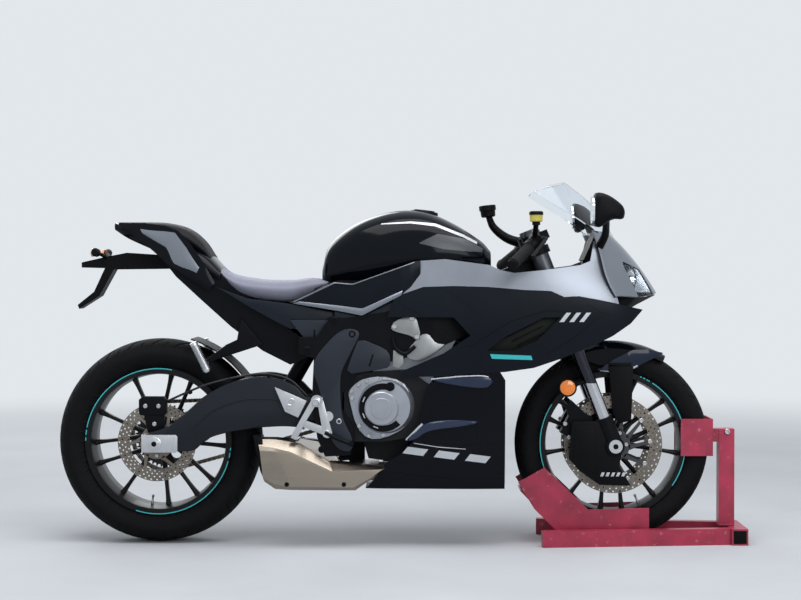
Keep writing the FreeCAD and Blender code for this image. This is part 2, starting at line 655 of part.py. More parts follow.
RAIL_BACK, RAIL_FRONT = 430, 1012
rail_y_back, rail_y_front = 136, 73
CROSS_FRONT = 1062
rail_width, rail_height = number("rail_width"), number("rail_height")
lean = math.degrees(math.atan2(rail_y_back - rail_y_front, RAIL_FRONT - RAIL_BACK))
base = Part.makeBox(CROSS_FRONT - RAIL_FRONT, 200, rail_height, Vector(RAIL_FRONT, -100, 0))
cheek_y = CRADLE_HALF + plate
for sign in (-1, 1):
    rail = Part.makeBox(800, rail_width, rail_height, Vector(0, -rail_width / 2, 0))
    rail.rotate(Vector(0, 0, 0), Vector(0, 0, 1), -sign * lean)
    rail.translate(Vector(RAIL_BACK, sign * rail_y_back, 0))
    rail = rail.cut(Part.makeBox(400, 600, 200, Vector(RAIL_FRONT, -300, -50)))
    base = base.fuse(rail)
    for x, z in ((530, 28),):
        pin = Part.makeCylinder(9, 60, Vector(x, sign * cheek_y, z), Vector(0, sign, 0))
        base = base.fuse(pin)
part(solid("ChockBase", base.removeSplitter()), "chock_base")

POST_BACK = 985
post = Part.makeBox(48, 44, 300, Vector(POST_BACK, -22, rail_height))
clamp_x = number("front_axle_x + front_tyre_radius") + cradle_gap
clamp_half = number("front_tyre_width") / 2 + 6
clamp = Part.makeBox(plate, 2 * clamp_half, 114, Vector(clamp_x, -clamp_half, 271))
for sign in (-1, 1):
    side = Part.makeBox(clamp_x + plate - 860, plate, 114,
                        Vector(860, sign * clamp_half - (plate if sign < 0 else 0), 271))
    clamp = clamp.fuse(side)
neck = Part.makeBox(POST_BACK - clamp_x - plate + 2, 40, 40, Vector(clamp_x + plate - 1, -20, 310))
part(solid("ChockPost", post.fuse(neck).fuse(clamp).removeSplitter()), "chock_post")

# Frame.

HEAD_LOW = "lower_clamp_z + clamp_wall + clamp_gap"
HEAD_LENGTH = "upper_clamp_z - lower_clamp_z - clamp_wall - 2 * clamp_gap"
head_solids = [steered_cylinder("HeadTube", "head_radius", HEAD_LENGTH, 0, 0, HEAD_LOW),
               steered_box("HeadGusset", 90, 120, HEAD_LENGTH, -92, -60, HEAD_LOW)]
head_bore = steered_cylinder("HeadBore", "stem_radius + running_gap", "fork_top", 0, 0, 100)
part(cut("HeadStock", fuse("HeadSolid", head_solids), head_bore), "head_stock")
doc.recompute()


def ring_face(x, corners):
    """A closed section across the bike at x, from (y, z) corners."""
    return Part.makePolygon([Vector(x, y, z) for y, z in corners + corners[:1]])


outside = number("spar_outside")
inside = outside - number("spar_wall")
spar_back = outside - number("pivot_plate_wall")
SPAR = [(-215, spar_back, outside, 520, 690), (-50, inside, outside, 560, 715), (100, inside, outside, 600, 752),
        (210, inside - 22, outside - 20, 650, 806), (285, 76, 104, 700, 820), (332, 60.2, 84, 735, 838),
        (382, 60.2, 74, 768, 846)]
spar = Part.makeLoft([ring_face(x, [(-y1, z0), (-y1, z1), (-y0, z1), (-y0, z0)]) for x, y0, y1, z0, z1 in SPAR],
                     True, True)
plate_points = [(-50, 690), (-213, 700), (-252, 640), (-308, 636), (-308, 590), (-262, 575), (-268, 449),
                (-252, 335), (-228, 278), (-153, 282), (-138, 330), (-140, 366), (-176, 420), (-176, 470),
                (-140, 505), (-120, 548), (-50, 600)]
pivot_plate = Part.Face(Part.makePolygon([Vector(x, -outside, z) for x, z in plate_points + plate_points[:1]]))
pivot_plate = pivot_plate.extrude(Vector(0, number("pivot_plate_wall"), 0))
pivot_hole = Part.makeCylinder(10, 400, Vector(number("pivot_x"), -200, number("pivot_z")), Vector(0, 1, 0))
spar = spar.fuse(pivot_plate).cut(pivot_hole)
part(pair("FrameSpars", solid("FrameSpar", spar)), "frame_spars")

PLATE_INSIDE = "spar_outside - pivot_plate_wall"
part(fuse("FrameCross", [
    cylinder("PivotBolt", 10, "2 * spar_outside + 12", "pivot_x", "-spar_outside - 6", "pivot_z", ALONG_Y),
    cylinder("PivotNutRight", 15, 6, "pivot_x", "-spar_outside - 6", "pivot_z", ALONG_Y),
    cylinder("PivotNutLeft", 15, 6, "pivot_x", "spar_outside", "pivot_z", ALONG_Y)]), "pivot_bolt")

# Engine.  A closed block with its covers, its cylinders leaning forward.

CRANKCASE = [(-170, 505), (-120, 530), (20, 540), (100, 485), (100, 385), (30, 335), (-50, 322), (-140, 322),
             (-172, 375)]
crankcase = side_plate("Crankcase", CRANKCASE, "-engine_half", "2 * engine_half")
SUMP = [(-120, 330), (-100, 262), (-10, 250), (18, 262), (24, 345)]
sump = side_plate("Sump", SUMP, -62, 124)
sprocket_shaft = cylinder("OutputShaft", 14, 30, -130, 80, 412, ALONG_Y)
recess = box("SprocketRecess", 110, 70, 122, -184, 90, 342)
small_tip = small_pitch_radius - half_plate - 1
small_sprocket = ring_of_teeth(int(number("front_sprocket_teeth")), small_tip, 7, number("sprocket_y"),
                               number("sprocket_wall"))
small_sprocket.translate(front_centre)
block = cut("EngineBlock", fuse("EngineSolid", [crankcase, sump]), recess)
part(fuse("EngineCase", [block, sprocket_shaft, solid("SmallSprocket", small_sprocket)]), "engine_crankcase")
CYLINDERS = [(-90, 520), (40, 500), (80, 480), (168, 628), (126, 738), (20, 748), (-30, 690)]
cylinders = side_plate("CylinderBlock", CYLINDERS, -118, 236)
crankcase_again = side_plate("CrankcaseAgain", CRANKCASE, "-engine_half", "2 * engine_half")
part(cut("Cylinders", cylinders, crankcase_again), "engine_cylinders")
clutch = doc.addObject("Part::Cone", "ClutchCone")
bind(clutch, Radius1=98, Radius2=82, Height=34)
place(clutch, -37, "-engine_half", 438, Rotation(Vector(1, 0, 0), 90))
clutch_face = cylinder("ClutchFace", 66, 46, -37, "-(engine_half + 46)", 438, ALONG_Y)
part(fuse("ClutchCover", [clutch, clutch_face]), "clutch_cover")
generator = doc.addObject("Part::Cone", "GeneratorCone")
bind(generator, Radius1=80, Radius2=64, Height=36)
place(generator, -20, "engine_half", 420, Rotation(Vector(1, 0, 0), -90))
part(generator, "generator_cover")

radiator_core = box("RadiatorCore", 34, 280, 204, 222, -140, 432, Rotation(Vector(0, 1, 0), 8))
doc.recompute()
radiator = radiator_core.Shape
for sign in (-1, 1):
    radiator = radiator.fuse(rod((262, sign * 108, 620), (262, sign * 108, 720), 7).cut(spar)
                             .cut(spar.mirror(Vector(0, 0, 0), Vector(0, 1, 0))))
part(solid("Radiator", radiator), "radiator")


def pipe(points, radius, bend):
    """A round tube along straight runs joined by arcs."""
    points = [Vector(*point) for point in points]
    pieces, start = [], points[0]
    for before, corner, after in zip(points, points[1:], points[2:]):
        into, out = (corner - before).normalize(), (after - corner).normalize()
        turn = into.getAngle(out)
        reach = bend * math.tan(turn / 2)
        pieces.append(rod(start, corner - into * reach, radius))
        axis = into.cross(out).normalize()
        centre = corner - into * reach + axis.cross(into) * bend
        end = Part.Face(Part.Wire(Part.Circle(corner - into * reach, into, radius).toShape()))
        pieces.append(end.revolve(centre, axis, math.degrees(turn)))
        start = corner + out * reach
    pieces.append(rod(start, points[-1], radius))
    return pieces[0].fuse(pieces[1:])


headers = None
for y in (-78, 0, 78):
    tube_solid = pipe([(122, y, 598), (188, y, 560), (186, y, 400), (138, y, 270), (70, y * 0.6, 222),
                       (-80, y * 0.5, 222)], 19, 45)
    headers = tube_solid if headers is None else headers.fuse(tube_solid)
collector = Part.makeBox(70, 130, 50, Vector(-140, -75, 196))
doc.recompute()
headers = headers.fuse(collector).cut(crankcase_again.Shape).cut(cylinders.Shape)
header_piece = solid("Headers", headers)
part(header_piece, "exhaust_headers")

SILENCER = [(-436, 330), (-415, 197), (-376, 176), (-127, 176), (-49, 242), (-106, 250), (-211, 262),
            (-301, 322), (-376, 330)]
silencer_body = side_plate("SilencerBody", SILENCER, 75, 118)
doc.recompute()
silencer = silencer_body.Shape
part(solid("Silencer", silencer), "silencer")

# Swingarm's neighbours.


caliper = Part.makeBox(84, 35, 54, Vector(-732, -number("arm_inside"), 398))
caliper = caliper.cut(Part.makeBox(110, 11, 50, Vector(-740, -105, 388)))
part(solid("RearCaliper", caliper), "rear_caliper")


def arc_shell(centre, inner, outer, start, sweep, half):
    """A curved sheet about the Y direction."""
    face = Part.Face(Part.makePolygon([Vector(inner, -half, 0), Vector(outer, -half, 0),
                                       Vector(outer, half, 0), Vector(inner, half, 0), Vector(inner, -half, 0)]))
    face.rotate(Vector(0, 0, 0), Vector(0, 1, 0), -start)
    shell = face.revolve(Vector(0, 0, 0), Vector(0, -1, 0), sweep)
    shell.translate(centre)
    return shell


hugger = arc_shell(rear_centre, 329, 333, 20, 52, 86)
tab_angle = math.radians(30)
for sign in (-1, 1):
    tab_start = rear_centre + Vector(331 * math.cos(tab_angle), sign * 84, 331 * math.sin(tab_angle))
    tab = Part.makeCylinder(7, number("arm_inside") - 84, tab_start, Vector(0, sign, 0))
    hugger = hugger.fuse(tab)
part(solid("Hugger", hugger), "hugger")

# Skin of the sides.  One smooth surface carries all the side panels; each panel is its own outline cut
# from it, so neighbours share their seams.

SKIN_X = (-250, -110, 10, 140, 270, 410, 550, 660, 745)
SKIN_Z = (150, 260, 350, 450, 550, 650, 740, 800, 880, 960)
SKIN_Y = (
    (112, 135, 148, 152, 148, 138, 128, 118, 98),
    (130, 158, 174, 180, 176, 164, 150, 134, 108),
    (145, 168, 182, 188, 186, 178, 165, 148, 118),
    (150, 174, 186, 192, 192, 186, 176, 158, 126),
    (152, 178, 190, 196, 197, 193, 183, 166, 132),
    (155, 180, 192, 199, 202, 199, 189, 171, 132),
    (152, 174, 186, 195, 199, 198, 190, 168, 122),
    (146, 164, 174, 184, 190, 192, 182, 152, 100),
    (130, 146, 154, 164, 172, 174, 162, 126, 70),
    (112, 124, 132, 140, 146, 150, 138, 100, 40))


def sheet_of(rows):
    """A smooth face through rows of points."""
    surface = Part.BSplineSurface()
    surface.interpolate([[Vector(*point) for point in row] for row in rows])
    return surface.toShape()


skin_face = sheet_of([[(x, -y, z) for x, y in zip(SKIN_X, row)] for z, row in zip(SKIN_Z, SKIN_Y)])
skin = skin_face.extrude(Vector(0, number("skin_wall"), 0))


def prism(points, low=40, high=280):
    """Everything on the right of the bike behind a side view outline."""
    face = Part.Face(Part.makePolygon([Vector(x, -high, z) for x, z in points + points[:1]]))
    return face.extrude(Vector(0, high - low, 0))


def boss(x, z, radius, inner_y):
    """A mount from the middle of the skin in to y = -inner_y, trimmed later to its carrier."""
    post = Part.makeCylinder(radius, 260 - inner_y, Vector(x, -260, z), Vector(0, 1, 0))
    behind = skin_face.copy()
    behind.translate(Vector(0, number("skin_wall") / 2, 0))
    return post.common(behind.extrude(Vector(0, 150, 0)))


def panel(name, label, points, holes=(), bosses=(), extra=(), beside=()):
    shape = skin.common(prism(points))
    for hole in holes:
        shape = shape.cut(prism(hole))
    for place_of_boss in bosses:
        shape = shape.fuse(boss(*place_of_boss))
    for solid_more in extra:
        shape = shape.fuse(solid_more)
    for neighbour in (spar,) + tuple(beside):
        shape = shape.cut(neighbour)
    shape = largest(shape)
    right = solid(name + "Right", shape)
    part(right, label + "_right")
    part(mirrored(name + "Left", right), label + "_left")
    return shape


SHOULDER = [(-1, 767), (50, 869), (134, 875), (267, 857), (300, 842), (342, 833), (433, 842), (542, 857),
            (572, 869), (585, 930), (610, 915), (658, 740), (599, 752), (533, 764), (491, 761), (452, 779),
            (374, 782), (266, 791), (161, 794), (68, 791)]
shoulder = panel("Shoulder", "shoulder_panel", SHOULDER, bosses=[(205, 797, 6, 136)])
SIDE = [(-16, 764), (-1, 766), (68, 790), (161, 793), (266, 790), (374, 781), (452, 778), (491, 760), (533, 763),
        (599, 751), (658, 739), (734, 722), (694, 680), (640, 644), (586, 617), (532, 596), (481, 575),
        (400, 548), (315, 536), (119, 522), (14, 521), (-2, 535), (130, 592), (210, 645), (160, 700), (70, 700),
        (-40, 700)]
GILL = [(310, 640), (430, 700), (480, 700), (410, 630), (340, 600), (260, 600)]
panel("SideFairing", "side_fairing", SIDE, holes=[GILL], bosses=[(70, 730, 8, 165)],
      beside=[shoulder])
BELLY = [(-106, 180), (-49, 243), (-46, 259), (-1, 286), (35, 322), (89, 496), (119, 517), (300, 535), (315, 511),
         (315, 180)]
behind_skin = skin_face.copy()
behind_skin.translate(Vector(0, number("skin_wall") / 2, 0))
floor_plate = Part.makeBox(421, 200, 5, Vector(-106, -200, 180)).common(behind_skin.extrude(Vector(0, 300, 0)))
panel("Belly", "belly_pan", BELLY, bosses=[(84, 440, 8, 147)], extra=[floor_plate], beside=[silencer, headers])

# Tank, seats and tail.  Each is lofted through rounded sections across the bike.


def section(x, half, low, top, widest):
    """A rounded closed section: flat underneath, widest at a height, arched above."""
    crown, belly = top - widest, widest - low
    right = [(0, top), (0.5 * half, top - 0.07 * crown), (0.84 * half, top - 0.36 * crown),
             (half, widest), (0.93 * half, low + 0.35 * belly), (0.72 * half, low), (0, low)]
    points = right + [(-y, z) for y, z in reversed(right[1:-1])]
    return Part.makePolygon([Vector(x, y, z) for y, z in points + points[:1]])


def lofted(stations):
    return Part.makeLoft([section(*station) for station in stations], True, False)


TANK = [(-242, 62, 812, 852, 826), (-224, 88, 806, 915, 835), (-172, 112, 804, 965, 850), (-100, 132, 806, 1003, 872),
        (-10, 146, 806, 1026, 892), (80, 150, 806, 1021, 900), (167, 138, 808, 984, 896), (244, 112, 812, 935, 880),
        (276, 84, 820, 902, 862)]
tank = lofted(TANK)
for sign in (-1, 1):
    tank = tank.fuse(rod((150, sign * 128, 770), (150, sign * 126, 850), 9).cut(spar)
                     .cut(spar.mirror(Vector(0, 0, 0), Vector(0, 1, 0))))
part(solid("FuelTank", tank), "fuel_tank")

RIDER = [(-562, 92, 838, 857, 846), (-521, 116, 800, 832, 815), (-460, 128, 768, 819, 796),
         (-384, 130, 755, 818, 790), (-308, 116, 760, 824, 795), (-252, 92, 772, 832, 806)]
rider_seat = lofted(RIDER).cut(tank)
part(solid("RiderSeat", rider_seat), "rider_seat")

PILLION = [(-874, 44, 966, 991, 978), (-790, 76, 944, 991, 970), (-721, 96, 930, 988, 962),
           (-660, 106, 912, 972, 944), (-614, 102, 892, 936, 914), (-582, 88, 868, 888, 878)]
pillion_seat = lofted(PILLION)
part(solid("PillionSeat", pillion_seat), "pillion_seat")

TAIL = [(-886, 40, 966, 990, 978), (-840, 66, 938, 975, 958), (-767, 92, 906, 960, 938), (-721, 112, 884, 945, 920),
        (-660, 122, 852, 925, 896), (-600, 124, 822, 900, 860), (-550, 118, 800, 850, 825)]
tail_cowl = lofted(TAIL).cut(pillion_seat).cut(rider_seat)
part(solid("TailCowl", tail_cowl), "tail_cowl")

SUBFRAME = [(-732, 880), (-686, 822), (-610, 752), (-519, 670), (-422, 596), (-337, 553), (-260, 585),
            (-260, 640), (-306, 636), (-397, 700), (-504, 797), (-590, 852), (-670, 905)]
sub_plate = side_plate("SubPlate", SUBFRAME, 100, 12)
sub_tube = cylinder("SubTube", 18, "2 * (spar_outside - pivot_plate_wall)", -282, "-(spar_outside - pivot_plate_wall)",
                    612, ALONG_Y)
doc.recompute()
subframe = sub_plate.Shape.fuse(sub_plate.Shape.mirror(Vector(0, 0, 0), Vector(0, 1, 0))).fuse(sub_tube.Shape)
subframe = subframe.cut(tail_cowl).cut(rider_seat)
part(solid("Subframe", subframe), "subframe")
shock = rod((-345, 0, 485), (-262, 0, 630), 24).cut(sub_tube.Shape).cut(swingarm.Shape)
part(solid("RearShock", largest(shock)), "rear_shock")

UNDERTRAY = [(-725, 872), (-680, 838), (-590, 752), (-420, 636), (-330, 596), (-320, 612), (-420, 655), (-590, 772),
             (-680, 856), (-720, 885)]
tray = prism(UNDERTRAY, -100, 100)
HOLDER = [(-990, 866), (-911, 884), (-849, 896), (-726, 888), (-680, 858), (-720, 846), (-890, 844),
          (-935, 762), (-998, 722), (-1003, 734), (-952, 775), (-918, 848), (-990, 850)]
holder = prism(HOLDER, -34, 34)
tray = tray.fuse(holder).cut(tail_cowl)
part(solid("Undertray", tray.removeSplitter()), "undertray")

KNEE = [(-303, 745), (-249, 782), (-213, 818), (-152, 812), (-50, 830), (40, 868), (-1, 788), (-16, 766),
        (-143, 694), (-213, 702)]
knee = skin.common(prism(KNEE)).cut(spar).cut(tank)
knee = knee.fuse(boss(-205, 795, 6, 60).cut(tank)).fuse(boss(-120, 716, 6, 140).cut(spar))
part(pair("KneePanels", solid("KneePanel", largest(knee))), "knee_panels")

# Nose.

NOSE_ROWS = (
    ((582, 158, 962), (616, 120, 958), (650, 62, 944), (663, 0, 934)),
    ((604, 163, 900), (660, 118, 898), (700, 62, 890), (712, 0, 884)),
    ((622, 176, 826), (700, 120, 822), (744, 62, 824), (756, 0, 828)),
    ((652, 178, 764), (726, 122, 762), (776, 62, 768), (792, 0, 772)))
nose_face = sheet_of([[(x, -y, z) for x, y, z in row] + [(x, y, z) for x, y, z in reversed(row[:-1])]
                      for row in NOSE_ROWS])
NOSE_WALL = Vector(-5, 0, -3)
nose = nose_face.extrude(NOSE_WALL)
LAMP = [(674, 868), (678, 800), (722, 742), (780, 772), (738, 842)]
lamp_right = prism(LAMP, 62, 126)
lamps = nose.common(lamp_right.fuse(prism(LAMP, -126, -62)))
nose = nose.cut(lamp_right).cut(prism(LAMP, -126, -62))
behind_nose = nose_face.copy()
behind_nose.translate(NOSE_WALL * 0.5)
behind_nose = behind_nose.extrude(NOSE_WALL * 40)
spacer = rod((635, -120, 850), (635, -200, 850), 6).common(behind_nose).cut(shoulder)
spacer = min(spacer.Solids, key=lambda piece: piece.CenterOfMass.y)
nose = nose.fuse(spacer).fuse(spacer.mirror(Vector(0, 0, 0), Vector(0, 1, 0)))
part(solid("NoseCowl", nose), "nose_cowl")
part(solid("Headlights", lamps), "headlights")

SCREEN_ROWS = (
    NOSE_ROWS[0],
    ((538, 158, 996), (570, 119, 1010), (598, 62, 1022), (608, 0, 1026)),
    ((472, 152, 1036), (498, 114, 1062), (540, 60, 1074), (556, 0, 1077)),
    ((408, 138, 1076), (442, 104, 1098), (494, 54, 1110), (507, 0, 1113)))
screen_face = sheet_of([[(x, -y, z) for x, y, z in row] + [(x, y, z) for x, y, z in reversed(row[:-1])]
                        for row in SCREEN_ROWS])
screen = screen_face.extrude(NOSE_WALL * 0.6).cut(nose)
part(solid("Windscreen", screen), "windscreen")

dash = Part.makeBox(26, 168, 96, Vector(558, -84, 868))
dash.rotate(Vector(570, 0, 868), Vector(0, 1, 0), 24)
part(solid("Dash", dash), "dash")
stay = Part.makeBox(184, 36, 40, Vector(440, -18, 800))
head_tube = Part.makeCylinder(number("head_radius"), number("fork_top"), Vector(0, 0, 100))
head_tube.Placement = leg_line
crossbar = Part.makeBox(22, 400, 40, Vector(608, -200, 800)).common(behind_nose)
crossbar = crossbar.cut(shoulder).cut(shoulder.mirror(Vector(0, 0, 0), Vector(0, 1, 0)))
dash_post = Part.makeBox(16, 60, 60, Vector(562, -30, 830)).cut(dash)
stay = stay.fuse(crossbar).fuse(dash_post).cut(head_tube)
part(solid("CowlStay", largest(stay)), "cowl_stay")

# Mirrors, rests, stand.

mirror = rod((602, -150, 915), (610, -318, 990), 9)
head_shape = Part.makeSphere(1)
matrix = FreeCAD.Matrix()
matrix.scale(48, 62, 36)
glass = head_shape.transformGeometry(matrix)
glass.rotate(Vector(0, 0, 0), Vector(0, 1, 0), 30)
glass.translate(Vector(607, -322, 1014))
mirror = solid("Mirror", largest(mirror.fuse(glass).cut(nose)))
part(pair("Mirrors", mirror), "mirrors")

BRACKET = [(-381, 489), (-354, 429), (-285, 405), (-252, 345), (-211, 330), (-211, 350), (-240, 400), (-240, 480),
           (-280, 450), (-340, 470)]
bracket = side_plate("PegBracket", BRACKET, "spar_outside", 8)
peg = cylinder("Peg", 11, 74, -340, "-(spar_outside + 80)", 418, ALONG_Y)
rest = fuse("FootRest", [bracket, peg])
part(pair("FootRests", rest), "foot_rests")

stand_pivot = Vector(-140, 118, 250)
leg = rod((-140, 118, 250), (-342, 122, 232), 11)
foot = Part.makeBox(44, 30, 8, Vector(-370, 108, 224))
eye = Part.makeCylinder(18, 14, Vector(-140, 111, 250), Vector(0, 1, 0))
stand = leg.fuse(foot).fuse(eye).cut(Part.makeCylinder(8.05, 60, Vector(-140, 90, 250), Vector(0, 1, 0)))
part(solid("SideStand", stand), "side_stand")
pin = Part.makeCylinder(8, 46, Vector(-140, 88, 250), Vector(0, 1, 0))
hanger = pin.fuse(Part.makeBox(50, 14, 100, Vector(-166, 90, 232))).cut(crankcase_again.Shape)
part(solid("StandBracket", hanger), "stand_bracket")

# Export.

doc.recompute()
for item in doc.Objects:
    if any(word in item.State for word in ("Invalid", "Error")):
        raise RuntimeError("%s is %s" % (item.Name, item.State))
for item in PARTS:
    if item.Shape.isNull() or not item.Shape.isValid():
        raise RuntimeError("%s has no valid shape" % item.Label)
    item.Shape.exportStep("parts/%s.step" % item.Label)
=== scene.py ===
# Looks of a sport motorcycle standing in a front wheel chock.
# Surfaces are worked out in millimetres, as on the drawing, and become metres in their mesh.

import bmesh
import bpy
import numpy as np
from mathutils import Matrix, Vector


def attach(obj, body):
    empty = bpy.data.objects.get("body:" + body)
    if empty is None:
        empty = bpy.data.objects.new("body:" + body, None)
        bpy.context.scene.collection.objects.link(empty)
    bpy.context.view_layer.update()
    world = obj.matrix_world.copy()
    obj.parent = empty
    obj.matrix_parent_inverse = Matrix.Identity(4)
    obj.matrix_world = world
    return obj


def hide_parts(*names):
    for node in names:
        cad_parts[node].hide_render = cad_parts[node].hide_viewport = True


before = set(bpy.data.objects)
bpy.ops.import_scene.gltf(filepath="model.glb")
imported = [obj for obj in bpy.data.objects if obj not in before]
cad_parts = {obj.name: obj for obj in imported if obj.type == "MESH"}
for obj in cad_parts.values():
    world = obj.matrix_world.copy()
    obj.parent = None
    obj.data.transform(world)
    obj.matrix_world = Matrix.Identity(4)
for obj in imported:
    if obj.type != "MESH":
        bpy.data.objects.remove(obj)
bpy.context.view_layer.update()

# Finishes.  Each is a node material, and stands for one slot of the record, or for none.

slot_of = {}


def feed(tree, socket, value):
    """Give an input a value, or join it to another node's output."""
    if isinstance(value, bpy.types.NodeSocket):
        tree.links.new(value, socket)
    else:
        socket.default_value = value


def add(tree, kind, settings=(), **inputs):
    """A shader node with its settings and inputs; an underscore in an input's name is a space."""
    node = tree.nodes.new("ShaderNode" + kind)
    for name, value in dict(settings).items():
        setattr(node, name, value)
    for name, value in inputs.items():
        feed(tree, node.inputs[name.replace("_", " ")], value)
    return node


def finish(name, colour, slot=None, metallic=0.0, roughness=0.5, coat=0.0, specular=0.5, grain=400.0,
           bump=0.0,
           mottle=0.1, mottle_size=9.0, stretch=(1, 1, 1)):
    """A surface finish: a colour that wanders a little, a roughness that follows it, and a fine grain."""
    material = bpy.data.materials.new(name)
    material.use_nodes = True
    slot_of[name] = slot
    tree = material.node_tree
    mapping = add(tree, "Mapping", {"name": "mapping"}, Vector=add(tree, "TexCoord").outputs["Object"],
                  Scale=stretch).outputs["Vector"]
    cloud = add(tree, "TexNoise", Vector=mapping, Scale=mottle_size, Detail=6).outputs["Fac"]
    tone = add(tree, "ValToRGB", {"name": "tone"}, Fac=cloud)
    for stop, place, share in zip(tone.color_ramp.elements, (0.3, 0.7), (1 - mottle, 1 + mottle)):
        stop.position = place
        stop.color = [min(c * share, 1) for c in colour] + [1]
    sheen = add(tree, "MapRange", Value=cloud, To_Min=roughness * 0.85, To_Max=min(roughness * 1.15, 1))
    values = {"Base Color": tone.outputs["Color"], "Roughness": sheen.outputs["Result"],
              "Metallic": metallic,
              "Coat Weight": coat, "Coat Roughness": 0.04, "Specular IOR Level": specular}
    if bump:
        fine = add(tree, "TexNoise", Vector=mapping, Scale=grain, Detail=3).outputs["Fac"]
        relief = add(tree, "Bump", {"name": "relief"}, Height=fine, Strength=bump, Distance=0.0004)
        values["Normal"] = relief.outputs["Normal"]
    for socket, value in values.items():
        feed(tree, tree.nodes["Principled BSDF"].inputs[socket], value)
    return material


def tinted(material, colour, mask, low, high):
    """Another colour over a finish, where a mask rises from low to high."""
    tree = material.node_tree
    share = add(tree, "MapRange", Value=mask, From_Min=low, From_Max=high).outputs["Result"]
    mixed = add(tree, "Mix", {"data_type": "RGBA"}, Factor=share, A=tree.nodes["tone"].outputs["Color"],
                B=(*colour, 1))
    feed(tree, tree.nodes["Principled BSDF"].inputs["Base Color"], mixed.outputs["Result"])


def dress(material, *nodes):
    """Give CAD pieces their finish."""
    for node in nodes:
        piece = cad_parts[node]
        piece.data.materials.clear()
        piece.data.materials.append(material)


# Forms.  A form is its points, its quads and its flat caps; made() joins forms into one object.


def linked(name, points, faces):
    """An object in the scene, from points in metres."""
    mesh = bpy.data.meshes.new(name)
    mesh.from_pydata(points, [], faces)
    item = bpy.data.objects.new(name, mesh)
    bpy.context.scene.collection.objects.link(item)
    return item


def made(name, material, forms, replaced=(), body="chassis", slot=None, crease=34, mirror=False):
    """One object from several forms: its doubles merged, its faces turned outwards, smooth up to a crease.
    A mirrored one gets its twin on the other side of the bike."""
    if mirror:
        forms = forms + [(points * (1, -1, 1), quads, caps) for points, quads, caps in forms]
    starts = np.cumsum([0] + [len(points) for points, quads, caps in forms])
    faces = []
    for start, (points, quads, caps) in zip(starts, forms):
        faces += (quads + start).tolist() + [(cap + start).tolist() for cap in caps]
    item = linked(name, (np.concatenate([points for points, quads, caps in forms]) / 1000).tolist(), faces)
    work = bmesh.new()
    work.from_mesh(item.data)
    bmesh.ops.remove_doubles(work, verts=work.verts, dist=1e-6)
    bmesh.ops.dissolve_degenerate(work, edges=work.edges, dist=1e-7)
    bmesh.ops.recalc_face_normals(work, faces=work.faces)
    work.to_mesh(item.data)
    work.free()
    item.data.shade_smooth()
    item.data.set_sharp_from_angle(angle=np.radians(crease))
    item.data.materials.append(material)
    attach(item, body)
    slot = slot or slot_of[material.name]
    if replaced:
        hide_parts(*replaced)
    return item


def pair(*parts, **choices):
    """The same piece on both sides of the bike, as one object."""
    return made(*parts, mirror=True, **choices)


def smooth(points, count, closed=False):
    """Points spread along the Catmull-Rom curve through the given ones: each span is the cubic whose end
    slopes are half the chord between its outer neighbours."""
    points = np.asarray(points, float)
    spans = len(points) if closed else len(points) - 1
    along = np.linspace(0, spans, count, endpoint=not closed)
    first = np.minimum(along.astype(int), spans - 1)
    t = (along - first)[:, None]
    if closed:
        before, start, end, after = (points[(first + k) % spans] for k in (-1, 0, 1, 2))
    else:
        longer = np.vstack([2 * points[0] - points[1], points, 2 * points[-1] - points[-2]])
        before, start, end, after = (longer[first + k] for k in range(4))
    return 0.5 * (2 * start + (end - before) * t + (2 * before - 5 * start + 4 * end - after) * t ** 2
                  + (3 * start - before - 3 * end + after) * t ** 3)


def grid(surface, wrap_rows=False, wrap_columns=False, capped=False):
    """Quads between the neighbours of a grid of points; flat caps close its first and last rows."""
    rows, columns = surface.shape[:2]
    row = np.arange(rows if wrap_rows else rows - 1)[:, None] * columns
    column = np.arange(columns if wrap_columns else columns - 1)[None]
    next_row, next_column = (row + columns) % (rows * columns), (column + 1) % columns
    quads = np.stack([row + column, next_row + column, next_row + next_column, row + next_column], -1)
    caps = [np.arange(columns), (rows - 1) * columns + np.arange(columns)] if capped else []
    return surface.reshape(-1, 3), quads.reshape(-1, 4), caps


def skin(rings, capped=True):
    """A form over closed rings."""
    return grid(np.asarray(rings, float), False, True, capped)


def shell(face, wall):
    """A thin wall behind a face, whose back faces the middle plane."""
    return skin(np.concatenate([face, face[:, ::-1] + (0, wall, 0)], 1), False)


def many(form, sets):
    """The faces of one form over many sets of its points."""
    points, quads, caps = form
    shift = np.arange(len(sets)) * len(points)
    return (sets.reshape(-1, 3), (quads + shift[:, None, None]).reshape(-1, 4),
            [cap + start for start in shift for cap in caps])


def polar(centre, radius, angle, y):
    """Points round a side view centre: x and z are the centre's plus the radius times the angle's cosine
    and sine."""
    x, z = centre[0] + radius * np.cos(angle), centre[1] + radius * np.sin(angle)
    return np.stack(np.broadcast_arrays(x, y, z), -1)


def around(profile, centre, steps=96, start=0.0, sweep=360.0, closed=False):
    """A profile of (radius, y) points turned about the line across the bike through a side view centre."""
    radius, y = np.asarray(profile, float).T
    whole = sweep >= 360
    angles = np.radians(start + np.linspace(0, sweep, steps, endpoint=not whole))[:, None]
    return grid(polar(centre, radius, angles, y), whole, closed, closed and not whole)


def band(centre, low, high, start, sweep, y, lift=0.4):
    """A flat stripe along an arc, standing a little off the face that it is printed on."""
    top = y + np.sign(y) * lift
    return around([(low, y), (high, y), (high, top), (low, top)], centre, max(int(sweep / 2), 3), start,
                  sweep,
                  True)


